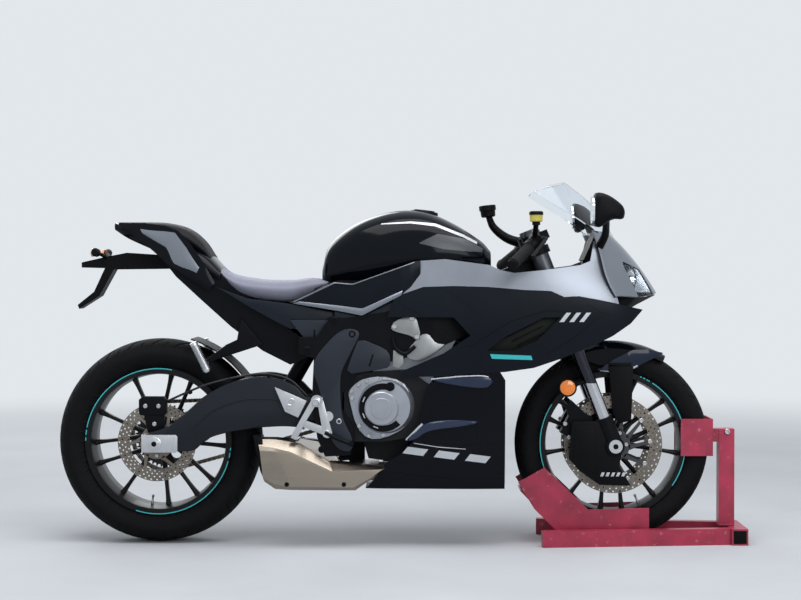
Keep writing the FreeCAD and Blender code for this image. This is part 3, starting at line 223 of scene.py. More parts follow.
def turned(middle, along, radius, sides):
    """Rings square to a line, turned so that one side keeps facing the same way."""
    other = np.eye(3)[np.argmin(np.abs(along).mean(0))]
    first = np.cross(along, other)
    first /= np.linalg.norm(first, axis=1)[:, None]
    second = np.cross(along, first)
    angle = np.linspace(0, 2 * np.pi, sides, endpoint=False)[None, :, None]
    reach = np.broadcast_to(np.asarray(radius, float), len(middle))[:, None, None]
    return skin(middle[:,
                       None] + reach * (np.cos(angle) * first[:, None] + np.sin(angle) * second[:, None]))


def lathe(start, end, profile, sides=24):
    """Rings about the straight line between two points: each profile row is (share of the way, radius)."""
    start, end, profile = (np.asarray(value, float) for value in (start, end, profile))
    middle = start + profile[:, :1] * (end - start)
    along = (end - start) / np.linalg.norm(end - start)
    return turned(middle, np.broadcast_to(along, middle.shape), profile[:, 1], sides)


def rod(start, end, radius, sides=20):
    """A straight bar with softly rounded ends."""
    return lathe(start, end, [(0, radius * 0.8), (0.01, radius), (0.99, radius), (1, radius * 0.8)], sides)


def tube(points, count, radius, sides=12):
    """A round bar along the smooth curve through some points."""
    path = smooth(points, count)
    along = np.gradient(path, axis=0)
    along /= np.linalg.norm(along, axis=1)[:, None]
    return turned(path, along, radius, sides)


def bolts(centres, radius, height):
    """Socket heads standing out to the right of each centre: a round head with a chamfer and a sunk
    socket."""
    profile = np.array([(0, 0.35), (0.5, 0.35), (0.55, 1), (0.85, 1), (1, 0.75), (1, 0), (0, 0)])
    head = around(profile * (radius, -height), (0, 0), 14)
    return many(head, head[0] + np.asarray(centres, float)[:, None])


def ring_points(centre, radius, count, y, start=0.0):
    """Places spread evenly round a circle in the side view."""
    return polar(centre, radius, np.radians(start + 360 * np.arange(count) / count), y)


def stood(outline, y):
    """A side view outline at a distance across the bike."""
    return np.stack([outline[:, 0], np.full(len(outline), y), outline[:, 1]], -1)


def inset(outline, depth):
    """The outline moved inwards by a depth: each corner goes along the sum of its two edges' inward
    normals, divided by one plus their dot product."""
    points = np.asarray(outline, float)
    following = np.roll(points, -1, 0)
    ahead = (following - points) / np.linalg.norm(following - points, axis=1)[:, None]
    turn = np.sign((points[:, 0] * following[:, 1] - following[:, 0] * points[:, 1]).sum())
    normal = turn * np.stack([-ahead[:, 1], ahead[:, 0]], -1)
    before = np.roll(normal, 1, 0)
    return points + depth * (normal + before) / (1 + (normal * before).sum(1))[:, None]


def plate(outline, near, far, ease=1.0):
    """A flat piece cut to a side view outline between two planes across the bike, its edges eased."""
    step = np.sign(far - near) * ease
    rows = [(ease, near), (ease * 0.3, near + step * 0.3), (0, near + step), (0, far - step),
            (ease * 0.3, far - step * 0.3), (ease, far)]
    return skin([stood(inset(outline, depth), y) for depth, y in rows])


def cut_corners(outline, share=0.25, times=2):
    """An outline whose corners are rounded: each pass puts two points on every edge, a share from its
    ends, and drops the old corners."""
    points = np.asarray(outline, float)
    for _ in range(times):
        after = np.roll(points, -1, 0)
        points = np.stack([points + share * (after - points), after - share * (after - points)],
                          1).reshape(-1, 2)
    return points


def drawn_in(outline, rows, share=0.25, middle=None):
    """Rings of a rounded outline, drawn in towards a middle: each row is (share of its size, y)."""
    points = cut_corners(outline, share)
    middle = points.mean(0) if middle is None else np.array(middle)
    return skin([stood(middle + (points - middle) * size, y) for size, y in rows])


def loft(stations, rows, columns=64):
    """Rounded sections across the bike, carried through stations of (x, half width, lowest, highest and
    widest height) by one smooth curve per column of points."""
    rings = []
    for x, half, low, top, widest in stations:
        crown, belly = top - widest, widest - low
        right = [(0, top), (0.5 * half, top - 0.07 * crown), (0.84 * half, top - 0.36 * crown),
                 (half, widest),
                 (0.93 * half, low + 0.35 * belly), (0.72 * half, low), (0, low)]
        ring = smooth(right + [(-y, z) for y, z in reversed(right[1:-1])], columns, True)
        rings.append(np.stack([np.full(columns, x), ring[:, 0], ring[:, 1]], -1))
    return smooth(np.stack(rings).reshape(len(stations), -1), rows).reshape(rows, columns, 3)


def spread(points, count):
    """Points at even steps along a polyline."""
    points = np.asarray(points, float)
    length = np.concatenate([[0], np.cumsum(np.linalg.norm(np.diff(points, axis=0), axis=1))])
    at = np.linspace(0, length[-1], count)
    return np.stack([np.interp(at, length, points[:, k]) for k in range(2)], -1)


def ruled(upper, lower, columns, rows):
    """Straight rulings between two side view lines, with the share of the way down them."""
    top, bottom = spread(upper, columns), spread(lower, columns)
    way = np.linspace(0, 1, rows)[:, None, None]
    flat = top + way * (bottom - top)
    return flat[..., 0], flat[..., 1], way[..., 0]


def moulding(upper, lower, reach, wall=3.0, lift=0.0, columns=60, rows=8):
    """A thin shell between two side view lines: the distance from the middle plane is read from
    (x, distance) pairs, curved outwards a little halfway down."""
    x, z, way = ruled(upper, lower, columns, rows)
    y = -np.interp(x, *np.array(reach, float).T) - lift - 2.5 * np.sin(np.pi * way)
    return shell(np.stack([x, y, z], -1), wall)


def printed(upper, lower, target, columns=48, rows=8, lift=0.6):
    """A stripe between two side view lines, pressed across the bike onto a panel by a shrinkwrap: each
    point keeps its x and z and takes the panel's y.  A point that misses the panel takes the y of its
    neighbours."""
    x, z, _ = ruled(upper, lower, columns, rows)
    points, quads, caps = grid(np.stack([x, np.full(x.shape, -START_Y), z], -1))
    item = linked("pressed", (points / 1000).tolist(), quads.tolist())
    press = item.modifiers.new("press", "SHRINKWRAP")
    press.target = target
    press.wrap_method = "PROJECT"
    press.use_project_y = True
    done = item.evaluated_get(bpy.context.evaluated_depsgraph_get()).data
    places = np.empty(3 * len(done.vertices))
    done.vertices.foreach_get("co", places)
    bpy.data.objects.remove(item)
    face = places.reshape(rows, columns, 3).transpose(1, 0, 2).reshape(-1, 3) * 1000
    order, met = np.arange(len(face)), face[:, 1] > 1 - START_Y
    face[:, 1] = np.interp(order, order[met], face[met, 1])
    return shell(face.reshape(columns, rows, 3).transpose(1, 0, 2) - (0, lift, 0), lift + 0.6)


START_Y = 400.0

# Tyres.  Black road rubber moulded round a 17 inch rim: a rounded crown cut with slanted rain grooves,
# and a smooth sidewall with a rib above the bead.

FRONT_AXLE, REAR_AXLE = (653.0, 306.0), (-747.0, 315.0)
BEAD_RADIUS, GROOVE_DEPTH = 216, 3.2


def tyre(centre, height, width, rim_width, grooves):
    """The radius follows a rounded profile across the tyre; rain grooves run back and outwards from near
    the middle, where a saw wave of the angle plus the distance from the middle is close to its peak."""
    half = width / 2
    right = [(0.53 * rim_width - 8, 0), (rim_width / 2 - 0.8, 0.13), (half * 0.9, 0.28),
             (half * 0.98, 0.45),
             (half * 0.985, 0.6), (half * 0.88, 0.76), (half * 0.68, 0.88), (half * 0.36, 0.97), (0, 1)]
    y, share = smooth([(-y, r) for y, r in right] + [(y, r) for y, r in reversed(right[:-1])], 72).T
    rib = np.exp(-((share - 0.24) / 0.012) ** 2) + np.exp(-((share - 0.3) / 0.01) ** 2)
    turn = np.linspace(0, 1, 1000, endpoint=False)[:, None]
    out = np.abs(y) / half
    wave = turn * grooves + np.where(y < 0, 0.5, 0) - 0.62 * out ** 1.3

    def groove(offset, width, edge, low, high, end):
        near = np.abs((wave + offset) % 1 - 0.5)
        inside = np.clip((out - low) / end, 0, 1) * np.clip((high - out) / end, 0, 1)
        return np.clip((width - near) / edge, 0, 1) * inside

    cut = np.maximum(groove(0.042 * np.sin(2 * np.pi * out), 0.056, 0.02, 0.2, 0.86, 0.04),
                     groove(0.5, 0.035, 0.015, 0.62, 0.93, 0.03))
    radius = BEAD_RADIUS + height * np.minimum(share, 1) - 0.8 * rib - GROOVE_DEPTH * cut
    return grid(polar(centre, radius, 2 * np.pi * turn, y), True, True)


rubber = finish("road rubber", (0.005, 0.005, 0.006), "tyre", roughness=0.75, specular=0.1, bump=0.35,
                grain=900,
                mottle=0.25, mottle_size=22)
made("front_tyre_tread", rubber, [tyre(FRONT_AXLE, 84, 120, 89, 23)], ["front_tyre"], "front_wheel")
made("rear_tyre_tread", rubber, [tyre(REAR_AXLE, 99, 180, 140, 25)], ["rear_tyre"], "rear_wheel")

# Wheels.  Cast aluminium enamelled black: a barrel with rolled lips, pairs of slim spokes that flare into
# hub and barrel, and turquoise pinstripes with short dashes printed on the lip.

HUB_RADIUS, BARREL_RADIUS, BORE_RADIUS = 42, 209, 12.6


def spoke(centre, angle_in, angle_out, depth):
    """A rounded bar between two polar points; its width grows with high powers of the way to each end."""
    t = np.linspace(0, 1, 22)[:, None]
    a, b = np.radians(angle_in), np.radians(angle_out)
    inner = (HUB_RADIUS - 7) * np.array([np.cos(a), np.sin(a)])
    outer = (BARREL_RADIUS + 3) * np.array([np.cos(b), np.sin(b)])
    along = (outer - inner) / np.linalg.norm(outer - inner)
    width = 5.6 + 5.5 * (1 - t) ** 3 + 5.5 * t ** 9
    deep = depth * (0.5 - 0.14 * np.sin(np.pi * t))
    ring = np.linspace(0, 2 * np.pi, 20, endpoint=False)
    across, through = (np.sign(f(ring)) * np.abs(f(ring)) ** 0.62 for f in (np.cos, np.sin))
    middle = inner + t * (outer - inner)
    x = centre[0] + middle[:, :1] - width * across * along[1]
    z = centre[1] + middle[:, 1:] + width * across * along[0]
    return skin(np.stack([x, deep * through, z], -1))


def wheel(centre, rim_width, hub_right, hub_left, narrow, wide, depth):
    half, lip = rim_width / 2, rim_width / 2 + 6
    barrel = [(209, -lip), (214, -lip - 0.1), (226, -lip + 0.2), (227.8, -lip + 2), (227.8, -half - 0.2),
              (219, -half + 1), (216, -half + 5), (214, 0), (216, half - 5), (219, half - 1),
              (227.8, half + 0.2),
              (227.8, lip - 2), (226, lip - 0.2), (214, lip + 0.1), (209, lip), (207, lip - 9), (205, 14),
              (203, 0), (205, -14), (207, -lip + 9)]
    hub = [(BORE_RADIUS, -hub_right), (30, -hub_right), (34, -hub_right + 3), (HUB_RADIUS, -hub_right + 6),
           (HUB_RADIUS, -22), (38, -12), (38, 12), (HUB_RADIUS, 22), (HUB_RADIUS, hub_left - 6),
           (34, hub_left - 3), (30, hub_left), (BORE_RADIUS, hub_left)]
    return [around(barrel, centre, 160, closed=True), around(hub, centre, 64, closed=True)] + [
        spoke(centre, turn + third + sign * near, turn + third + sign * far, depth)
        for turn, near, far in ((narrow, 30, 9), (wide, 24, 21)) for third in (0, 120, 240)
        for sign in (-1, 1)]


def stripes(centre, y, arcs):
    return [band(centre, 222.3, 225.3, start, sweep, sign * y) for start, sweep in arcs for sign in (-1, 1)]


def valve(centre, turn):
    """A tyre valve leaning out of the barrel."""
    foot, tip = (polar(centre, radius, np.radians(turn), y) for radius, y in ((206, -14), (174, -22)))
    return lathe(foot, tip, [(0, 4.5), (0.4, 4), (0.45, 3), (0.8, 3), (0.82, 4), (1, 4)], 12)


wheel_black = finish("black wheel enamel", (0.004, 0.004, 0.005), "wheel_black", roughness=0.35, coat=0.08,
                     specular=0.15, bump=0.12, mottle=0.2)
made("front_wheel_cast", wheel_black, wheel(FRONT_AXLE, 89, 62, 62, 30, 90, 30), ["front_rim"],
     "front_wheel")
made("rear_wheel_cast", wheel_black, wheel(REAR_AXLE, 140, 97, 101, 72, 15, 34), ["rear_rim"], "rear_wheel")
turquoise = finish("turquoise stripe", (0.02, 0.42, 0.45), "wheel_black", roughness=0.35, coat=0.4,
                   mottle=0.08)
FRONT_ARCS = (-35, 92), (59.5, 3), (63.5, 2), (66.5, 1.5), (147, 83), (236, 5), (243, 3)
REAR_ARCS = (79, 90), (171, 4), (177, 2.5), (252, 92), (347, 4), (352.5, 2.5)
made("front_wheel_stripes", turquoise, stripes(FRONT_AXLE, 50.4, FRONT_ARCS), body="front_wheel")
made("rear_wheel_stripes", turquoise, stripes(REAR_AXLE, 76, REAR_ARCS), body="rear_wheel")
fittings = finish("bright small fittings", (0.5, 0.51, 0.52), "bright_alloy", metallic=1, roughness=0.3)
made("front_valve", fittings, [valve(FRONT_AXLE, -66)], body="front_wheel")
made("rear_valve", fittings, [valve(REAR_AXLE, 262)], body="rear_wheel")

# Brake discs.  Stainless rings drilled in staggered rows; the front ones float on an alloy carrier whose
# arms end in steel bobbins, and button bolts hold each to its hub.


def pierced(centre, low, high, y, wall, rows, count, share):
    """A flat ring of square cells in polar coordinates, each with a round hole in its middle: sixteen
    points of the cell's edge are joined to sixteen points of the hole's edge, on both faces."""
    step = np.arange(16) / 4
    side, way = step.astype(int), step % 1
    edge_u = np.select([side == 0, side == 1, side == 2], [way, 1, 1 - way], 0.0)
    edge_v = np.select([side == 0, side == 1, side == 2], [0.0, way, 1], 1 - way)
    angle = np.arctan2(edge_v - 0.5, edge_u - 0.5)
    wide, deep = 2 * np.pi * (low + high) / 2 / count, (high - low) / rows
    u = np.stack([edge_u, 0.5 + share * np.cos(angle) * min(1, deep / wide)])
    v = np.stack([edge_v, 0.5 + share * np.sin(angle) * min(1, wide / deep)])
    row, cell = np.indices((rows, count)).reshape(2, -1, 1, 1)
    turn = 2 * np.pi * (cell + u + 0.5 * (row % 2)) / count
    near, far = (polar(centre, low + (row + v) / rows * (high - low), turn, place)
                 for place in (y, y + wall))
    loops = np.stack([near[:, 0], near[:, 1], far[:, 1], far[:, 0]], 1)
    return [many(skin(loops[0], False), loops)] + [around([(radius, y), (radius, y + wall)], centre,
                                                          4 * count)
                                                   for radius in (low, high)]


def carrier(centre, inner, ring, outer, count, y, wall):
    """A flat ring, and slim arms from it to the braking ring, pressed between the same two planes."""
    forms = [around([(inner, y), (ring, y), (ring, y + wall), (inner, y + wall)], centre, 72, closed=True)]
    middle = np.array([centre[0], y + wall / 2, centre[1]])
    for angle in np.radians(360 * np.arange(count) / count):
        out = np.array([np.cos(angle), 0, np.sin(angle)])
        lean = np.array([-out[2], 0, out[0]]) * 9
        points, quads, caps = lathe(middle + out * (ring - 4) - lean, middle + out * (outer + 4) + lean,
                                    [(0, 9), (0.3, 6), (0.8, 5), (1, 7.5)], 10)
        points[:, 1] = np.clip(points[:, 1], y, y + wall)
        forms.append((points, quads, caps))
    return forms


disc_steel = finish("drilled disc steel", (0.2, 0.175, 0.15), "disc_steel", metallic=1, roughness=0.34,
                    bump=0.2,
                    mottle=0.2)
carrier_alloy = finish("disc carrier alloy", (0.05, 0.05, 0.055), "disc_steel", metallic=0.5, roughness=0.4,
                       bump=0.15)
pair("front_disc_rings", disc_steel, pierced(FRONT_AXLE, 112, 150, -67, 5, 4, 44, 0.3), ["front_discs"],
     "front_wheel")
pair("front_disc_carriers", carrier_alloy, carrier(FRONT_AXLE, 26, 52, 112, 10, -66.5, 4),
     body="front_wheel")
pair("front_disc_bobbins", fittings, [bolts(ring_points(FRONT_AXLE, 113, 10, -66, 4.6), 7, 3),
                                      bolts(ring_points(FRONT_AXLE, 40, 6, -66), 6, 4)], body="front_wheel")
made("rear_disc_ring", disc_steel, pierced(REAR_AXLE, 84, 120, -102, 5, 4, 40, 0.3), ["rear_disc"],
     "rear_wheel")
made("rear_disc_carrier", disc_steel, carrier(REAR_AXLE, 24, 52, 86, 6, -101.5, 4), body="rear_wheel")
made("rear_disc_bolts", fittings, [bolts(ring_points(REAR_AXLE, 42, 6, -101.5, 30), 6, 4)],
     body="rear_wheel")

# Chain.  Links of two steel side plates on rollers, oiled dark, run round both sprockets.

CHAIN_FRONT, CHAIN_PITCH, CHAIN_Y = (-130.0, 412.0), 15.875, 104.5
BACK_RADIUS, SMALL_RADIUS = (CHAIN_PITCH / 2 / np.sin(np.pi / teeth) for teeth in (43, 15))


def chain_pins():
    """Pins a pitch apart along the open belt round two circles: two straight runs and two arcs."""
    front, back = np.array(CHAIN_FRONT), np.array(REAR_AXLE)
    span = back - front
    distance = np.hypot(*span)
    lean = np.arcsin((BACK_RADIUS - SMALL_RADIUS) / distance)
    straight = distance * np.cos(lean)
    upper = np.arctan2(span[1], span[0]) - np.pi / 2 - lean
    wrap_back, wrap_front = np.pi + 2 * lean, np.pi - 2 * lean
    lengths = np.cumsum([0, straight, BACK_RADIUS * wrap_back, straight, SMALL_RADIUS * wrap_front])
    count = int(round(lengths[-1] / CHAIN_PITCH / 2)) * 2
    s = np.linspace(0, lengths[-1], count, endpoint=False)

    def on_circle(middle, radius, angle):
        return middle + radius * np.stack([np.cos(angle), np.sin(angle)], -1)

    start, lower_end = (on_circle(front, SMALL_RADIUS, upper + wrap) for wrap in (0, wrap_back))
    end, lower_start = (on_circle(back, BACK_RADIUS, upper + wrap) for wrap in (0, wrap_back))
    runs = [start + (end - start) * (s / straight)[:, None],
            on_circle(back, BACK_RADIUS, upper + (s - lengths[1]) / BACK_RADIUS),
            lower_start + (lower_end - lower_start) * ((s - lengths[2]) / straight)[:, None],
            on_circle(front, SMALL_RADIUS, upper + wrap_back + (s - lengths[3]) / SMALL_RADIUS)]
    leg = np.searchsorted(lengths[1:4], s, side="right")[:, None]
    return np.select([leg == 0, leg == 1, leg == 2], runs[:3], runs[3])


def links(pins):
    """Side plates waisted between their pins, outer and inner pairs in turn, and a roller on each pin."""
    ring = np.linspace(0, 2 * np.pi, 20, endpoint=False)
    along, up = np.cos(ring), np.sin(ring)
    outline = np.stack([CHAIN_PITCH / 2 + along * 15, up * (7.2 - 2.2 * (1 - np.abs(along)) ** 2)], -1)
    way = np.roll(pins, -1, 0) - pins
    way /= np.linalg.norm(way, axis=1)[:, None]
    square = np.stack([-way[:, 1], way[:, 0]], -1)
    flat = pins[:, None] + outline[None, :, :1] * way[:, None] + outline[None, :, 1:] * square[:, None]
    outer = (np.arange(len(pins)) % 2 * 2.2)[:, None]
    forms = []
    for sign in (-1, 1):
        rings = np.stack([np.stack(np.broadcast_arrays(flat[..., 0], CHAIN_Y + sign * (5.2 + outer + depth),
                                                       flat[..., 1]), -1) for depth in (0, 2.0)], 1)
        forms.append(many(skin(rings[0]), rings))
    roller = around([(0, -9.4), (2.6, -9.4), (2.6, -5), (5, -5), (5, 5), (2.6, 5), (2.6, 9.4), (0, 9.4)],
                    (0, 0), 10)
    return forms + [many(roller, roller[0] + stood(pins, CHAIN_Y)[:, None])]


chain_steel = finish("oiled chain steel", (0.16, 0.14, 0.12), "chain_steel", metallic=1, roughness=0.38,
                     bump=0.3,
                     mottle=0.3, mottle_size=60)
made("chain_links", chain_steel, links(chain_pins()), ["chain"])
dress(finish("blackened sprocket steel", (0.05, 0.05, 0.052), metallic=0.9, roughness=0.42, bump=0.2),
      "rear_sprocket")

# Swingarm, axle and rear brake.  Welded aluminium arm in satin blue-black, silver adjuster blocks behind
# the axle nut, a black caliper over the disc and its braided pipe clipped along the arm.

black_metal = finish("satin black enamel", (0.003, 0.0035, 0.005), "black_metal", roughness=0.4,
                     specular=0.09,
                     bump=0.15, mottle=0.2)
dress(black_metal, "triple_clamps", "fork_feet", "front_calipers", "clip_ons", "levers", "head_stock",
      "frame_spars", "subframe", "rear_shock", "cowl_stay", "side_stand", "stand_bracket")
arm_black = finish("satin blue-black arm", (0.006, 0.009, 0.014), "black_metal", roughness=0.38, coat=0.06,
                   specular=0.22, bump=0.1)
ARM = cut_corners([(-790, 290), (-677, 290), (-626, 292), (-599, 321), (-571, 336), (-524, 349),
                   (-437, 363),
                   (-350, 368), (-290, 362), (-204, 372), (-194, 428), (-280, 450), (-320, 494),
                   (-360, 508),
                   (-414, 519), (-468, 515), (-530, 497), (-598, 460), (-654, 407), (-711, 363),
                   (-790, 340)], 0.2)
BRIDGE = [(-395, 425), (-325, 425), (-325, 495), (-395, 495)]
made("swingarm_shell", arm_black,
     [plate(ARM, side * 120, side * 145, 6) for side in (-1, 1)]
     + [rod((-218, -121, 400), (-218, 121, 400), 24, 32), rod((-325, -121, 395), (-325, 121, 395), 28, 32),
        plate(BRIDGE, -121, 70, 4)], ["swingarm"], crease=40)
WELD = [(-640, -145, 352), (-560, -146, 420), (-450, -146, 452), (-340, -146, 440), (-240, -146, 408)]
pair("swingarm_weld_line", arm_black, [tube(WELD, 40, 1.6, 8)])
bright_alloy = finish("machined alloy", (0.55, 0.56, 0.58), "bright_alloy", metallic=1, roughness=0.32,
                      bump=0.12)
dress(bright_alloy, "rear_axle", "front_axle", "pivot_bolt")
BLOCK = [(-787, 288), (-683, 288), (-677, 294), (-677, 336), (-683, 342), (-787, 342)]
pair("chain_adjusters", bright_alloy,
     [plate(BLOCK, -145, -153, 1.5),
      lathe((-747, -153, 315), (-747, -157, 315), [(0, 21), (0.7, 21), (1, 19)], 40)]
     + [plate([(x, 293), (x + 5, 293), (x + 5, 337), (x, 337)], -152.5, -154.5, 0.5)
        for x in (-716, -707, -698, -689)])
HEXAGON = ring_points(REAR_AXLE, 16, 6, 0, 12)[:, ::2]
pair("axle_nuts", bright_alloy, [plate(HEXAGON, -157, -164, 1.5)])
dark_hole = finish("shaded hollow", (0.004, 0.004, 0.004), "black_metal", roughness=0.8, specular=0.1)
pair("axle_hollows", dark_hole,
     [rod((-747, -160, 315), (-747, -164.6, 315), 8), rod((653, -136, 306), (653, -138.6, 306), 8)])
CALIPER = [(-800, 404), (-794, 398), (-722, 398), (-716, 404), (-716, 446), (-726, 455), (-790, 455),
           (-800, 446)]
CALIPER_TOP = [(-796, 438), (-720, 438), (-722, 454), (-793, 454)]
FOOT = [(-790, 425), (-726, 425), (-721, 345), (-773, 345)]
made("rear_caliper_body", black_metal,
     [plate(CALIPER, -105, -120, 3), plate(CALIPER, -85, -94, 2), plate(CALIPER_TOP, -92, -107, 1),
      plate(FOOT, -108, -117, 2)], ["rear_caliper"])
made("rear_caliper_bolts", fittings,
     [bolts([(-779, -120, 427), (-739, -120, 427), (-752, -117, 372)], 7, 5)])
braid = finish("braided steel pipe", (0.04, 0.04, 0.042), "bright_alloy", metallic=1, roughness=0.45,
               bump=0.5,
               grain=2500)
ARM_PIPE = [(-716, -112, 440), (-690, -126, 452), (-650, -134, 470), (-590, -137, 494), (-520, -137, 512),
            (-440, -137, 526), (-380, -138, 523), (-330, -142, 505), (-285, -147, 462)]
made("rear_brake_pipe", braid, [tube(ARM_PIPE, 60, 3.4, 10)])
made("rear_brake_clips", black_metal,
     [rod((x, -126, z), (x, -143, z), 6, 12) for x, z in ((-640, 470), (-520, 508), (-400, 521))])

# Frame fittings.  Covers and big sunk bolts on the frame's outer face, the castings seen through the
# fairing's window, the rider's heel hangers and the pillion's folding pegs.

FACE = -165
slate = finish("slate blue plastic", (0.013, 0.018, 0.028), "black_plastic", roughness=0.4, specular=0.3,
               bump=0.2,
               grain=900)
SIDE_COVER = [(-562, 792), (-467, 756), (-333, 739), (-194, 715), (-189, 664), (-306, 668), (-334, 662),
              (-389, 690), (-470, 735)]
navy_trim = finish("satin navy trim", (0.004, 0.007, 0.014), "body_navy", roughness=0.3, specular=0.25)
pair("seat_side_covers", navy_trim, [plate(SIDE_COVER, -126, -139, 3)])
pair("frame_infills", slate, [plate([(-336, 690), (-189, 690), (-189, 673), (-261, 596)], -126, -150, 2)])
BEAM = [(-200, 718), (-116, 702), (6, 768), (70, 796), (120, 796), (120, 700), (-40, 680), (-200, 672)]
pair("frame_beams", navy_trim, [plate(BEAM, -150, -164, 3)], slot="black_metal")
PIVOT_COVER = [(-177, 668), (-244, 598), (-262, 565), (-264, 531), (-244, 481), (-233, 420), (-215, 340),
               (-190, 300), (-150, 290), (-142, 330), (-170, 380), (-180, 420), (-183, 509), (-177, 542),
               (-144, 604), (-116, 660)]
ENGINE_CAP = [(-125, 637), (-44, 604), (-30, 582), (-33, 548), (-72, 540), (-166, 526), (-144, 593)]
pair("pivot_covers", slate, [plate(cut_corners(PIVOT_COVER), FACE, FACE - 3.5, 1.2)], slot="black_metal")
pair("engine_caps", slate, [plate(cut_corners(ENGINE_CAP, 0.2, 1), FACE, FACE - 6, 2)])
pair("cap_slots", black_metal,
     [plate([(-97, 552), (-91, 552), (-80, 588), (-86, 588)], -170.6, -171.6, 0.4),
                                plate([(-264, 640), (-258, 640), (-258, 662), (-264, 662)], -149.6, -150.6,
                                      0.4)])
BRACKET = [(-30, 668), (-19, 688), (34, 710), (48, 699), (62, 643), (48, 629), (34, 643), (-21, 657)]
CYLINDER = [(62, 648), (84, 651), (107, 621), (140, 618), (90, 582), (57, 565), (18, 576), (23, 604)]
window_silver = finish("bright cast alloy", (0.3, 0.31, 0.31), "engine_silver", metallic=0.85,
                       roughness=0.35,
                       bump=0.5, grain=300, mottle=0.25)
pair("engine_window_castings", window_silver,
     [plate(cut_corners(BRACKET, 0.2, 1), FACE, FACE - 9, 2),
      plate(cut_corners(CYLINDER, 0.2, 1), FACE, FACE - 6, 3),
      plate([(-22, 600), (6, 596), (10, 560), (-6, 544), (-24, 552)], FACE, FACE - 4, 1.5)])
pair("window_bolts", fittings, [bolts([(34, -174, 697), (-18, -174, 672), (50, -174, 641)], 8, 5)])
pair("window_hose", black_metal,
     [tube([(-24, -170, 640), (-14, -176, 606), (14, -178, 590), (44, -176, 612)], 24, 6, 10)])
pair("frame_bolts", black_metal,
     [bolts([(-200, FACE, 690), (-146, FACE, 649), (-282, FACE, 600), (-238, FACE, 300)], 11, 5)])
PEG_PLATE = [(-487, 697), (-420, 615), (-562, 569), (-593, 551), (-606, 560), (-532, 615), (-499, 630)]
pair("pillion_brackets", black_metal, [plate(PEG_PLATE, -111, -124, 3)])


def ribs(count, first, step, *rib):
    """Profile rows of a ribbed bar: the same rib of (share, radius) again at every step of the way."""
    return [(first + step * k + share, radius) for k in range(count) for share, radius in rib]


PEG = ribs(20, 0.12, 0.04, (0, 11), (0.01, 13), (0.025, 13), (0.035, 11))[:-2]
pair("pillion_pegs", bright_alloy,
     [lathe((-586, -136, 532), (-632, -136, 622),
            [(0, 9), (0.06, 12.5), (0.1, 12.5)] + PEG + [(0.98, 12.5), (1, 9)], 16),
      rod((-590, -122, 556), (-596, -136, 552), 8)])
HANGER = (([(-381, 489), (-283, 447), (-309, 396), (-349, 414)], 5),
          ([(-262, 462), (-243, 455), (-293, 372), (-314, 328), (-332, 336), (-302, 392)], 11),
          ([(-254, 462), (-236, 458), (-206, 352), (-218, 338), (-234, 344)], 10),
          ([(-296, 392), (-212, 362), (-222, 340), (-304, 372)], 9))
pair("heel_hangers", bright_alloy,
     [plate(outline, FACE, FACE - wall, 1.5) for outline, wall in HANGER]
     + [rod((x, FACE, z), (x, FACE - 16, z), r, 32) for x, z, r in ((-252, 447, 18), (-221, 351, 15))],
     ["foot_rests"])
pair("hanger_bolts", fittings,
     [bolts([(-252, -181, 447), (-221, -181, 351), (-328, -170, 446), (-336, -170, 428),
                                       (-186, FACE, 385)], 9, 4)])
RIB = ribs(18, 0.05, 0.05, (0, 10.5), (0.012, 12.5), (0.03, 12.5), (0.042, 10.5))
pair("foot_pegs", bright_alloy,
     [lathe((-252, -183, 447), (-252, -247, 447), [(0, 12)] + RIB + [(1, 9)], 18)])
made("brake_pedal", black_metal,
     [tube([(-228, -182, 352), (-190, -184, 334), (-160, -184, 322), (-146, -186, 320)], 24, 6, 10),
      rod((-148, -180, 320), (-148, -212, 320), 8)])

# Fork and front brake.  Grey anodised upper tubes, hard chrome lower tubes in a grey sleeve, black cast
# feet with flat moulded disc guards, and round amber reflectors on short black arms.

SLEEVE_FOOT = 0.497
dress(finish("anodised grey", (0.1, 0.105, 0.12), metallic=0.8, roughness=0.35, bump=0.1), "fork_tubes")
chrome = finish("hard chrome", (0.6, 0.61, 0.64), "chrome", metallic=1, roughness=0.14, mottle=0.03)
slider = finish("hard chrome with grey sleeve", (0.5, 0.51, 0.54), metallic=1, roughness=0.2, mottle=0.03)
tree = slider.node_tree
height = add(tree, "SeparateXYZ", Vector=tree.nodes["Texture Coordinate"].outputs["Object"]).outputs["Z"]
tinted(slider, (0.035, 0.037, 0.045), height, SLEEVE_FOOT, SLEEVE_FOOT + 0.001)
dress(slider, "fork_sliders")
plastic = finish("moulded black plastic", (0.003, 0.003, 0.004), "black_plastic", roughness=0.5,
                 specular=0.09,
                 bump=0.4, grain=1200)


def from_axle(*points):
    return [(FRONT_AXLE[0] + x, FRONT_AXLE[1] + z) for x, z in points]


GUARD = from_axle((-128, 76), (-30, 76), (-10, 28), (21, -18), (12, -60), (48, -121), (-48, -118),
                  (-108, -76),
                  (-141, -39), (-134, 51))
GUARD_STEP = from_axle((-118, 62), (-62, 66), (-58, -86), (-98, -66), (-128, -36), (-122, 46))
pair("disc_guards", plastic, [plate(GUARD, -117, -122, 2), plate(GUARD_STEP, -121, -124, 1.5)],
     body="steering",
     slot="black_metal")
stripe_silver = finish("silver print", (0.5, 0.52, 0.55), "body_silver", metallic=0.3, roughness=0.4,
                       mottle=0.04)
pair("guard_print", stripe_silver,
     [plate(from_axle((x, -92), (x + 9, -92), (x + 14, -80), (x + 5, -80)), -121.6, -122.6, 0.3)
      for x in (-46, -30, -14, 2, 18)], body="steering", slot="bright_alloy")
amber = finish("amber lens", (0.9, 0.22, 0.008), roughness=0.1, coat=0.8, mottle=0.2, mottle_size=220,
               bump=0.6,
               grain=260)
pair("reflector_lenses", amber,
     [lathe((507, -130, 485), (507, -138, 485), [(0.62, 25), (0.62, 23), (0.8, 21), (1, 8)], 40)],
     body="steering")
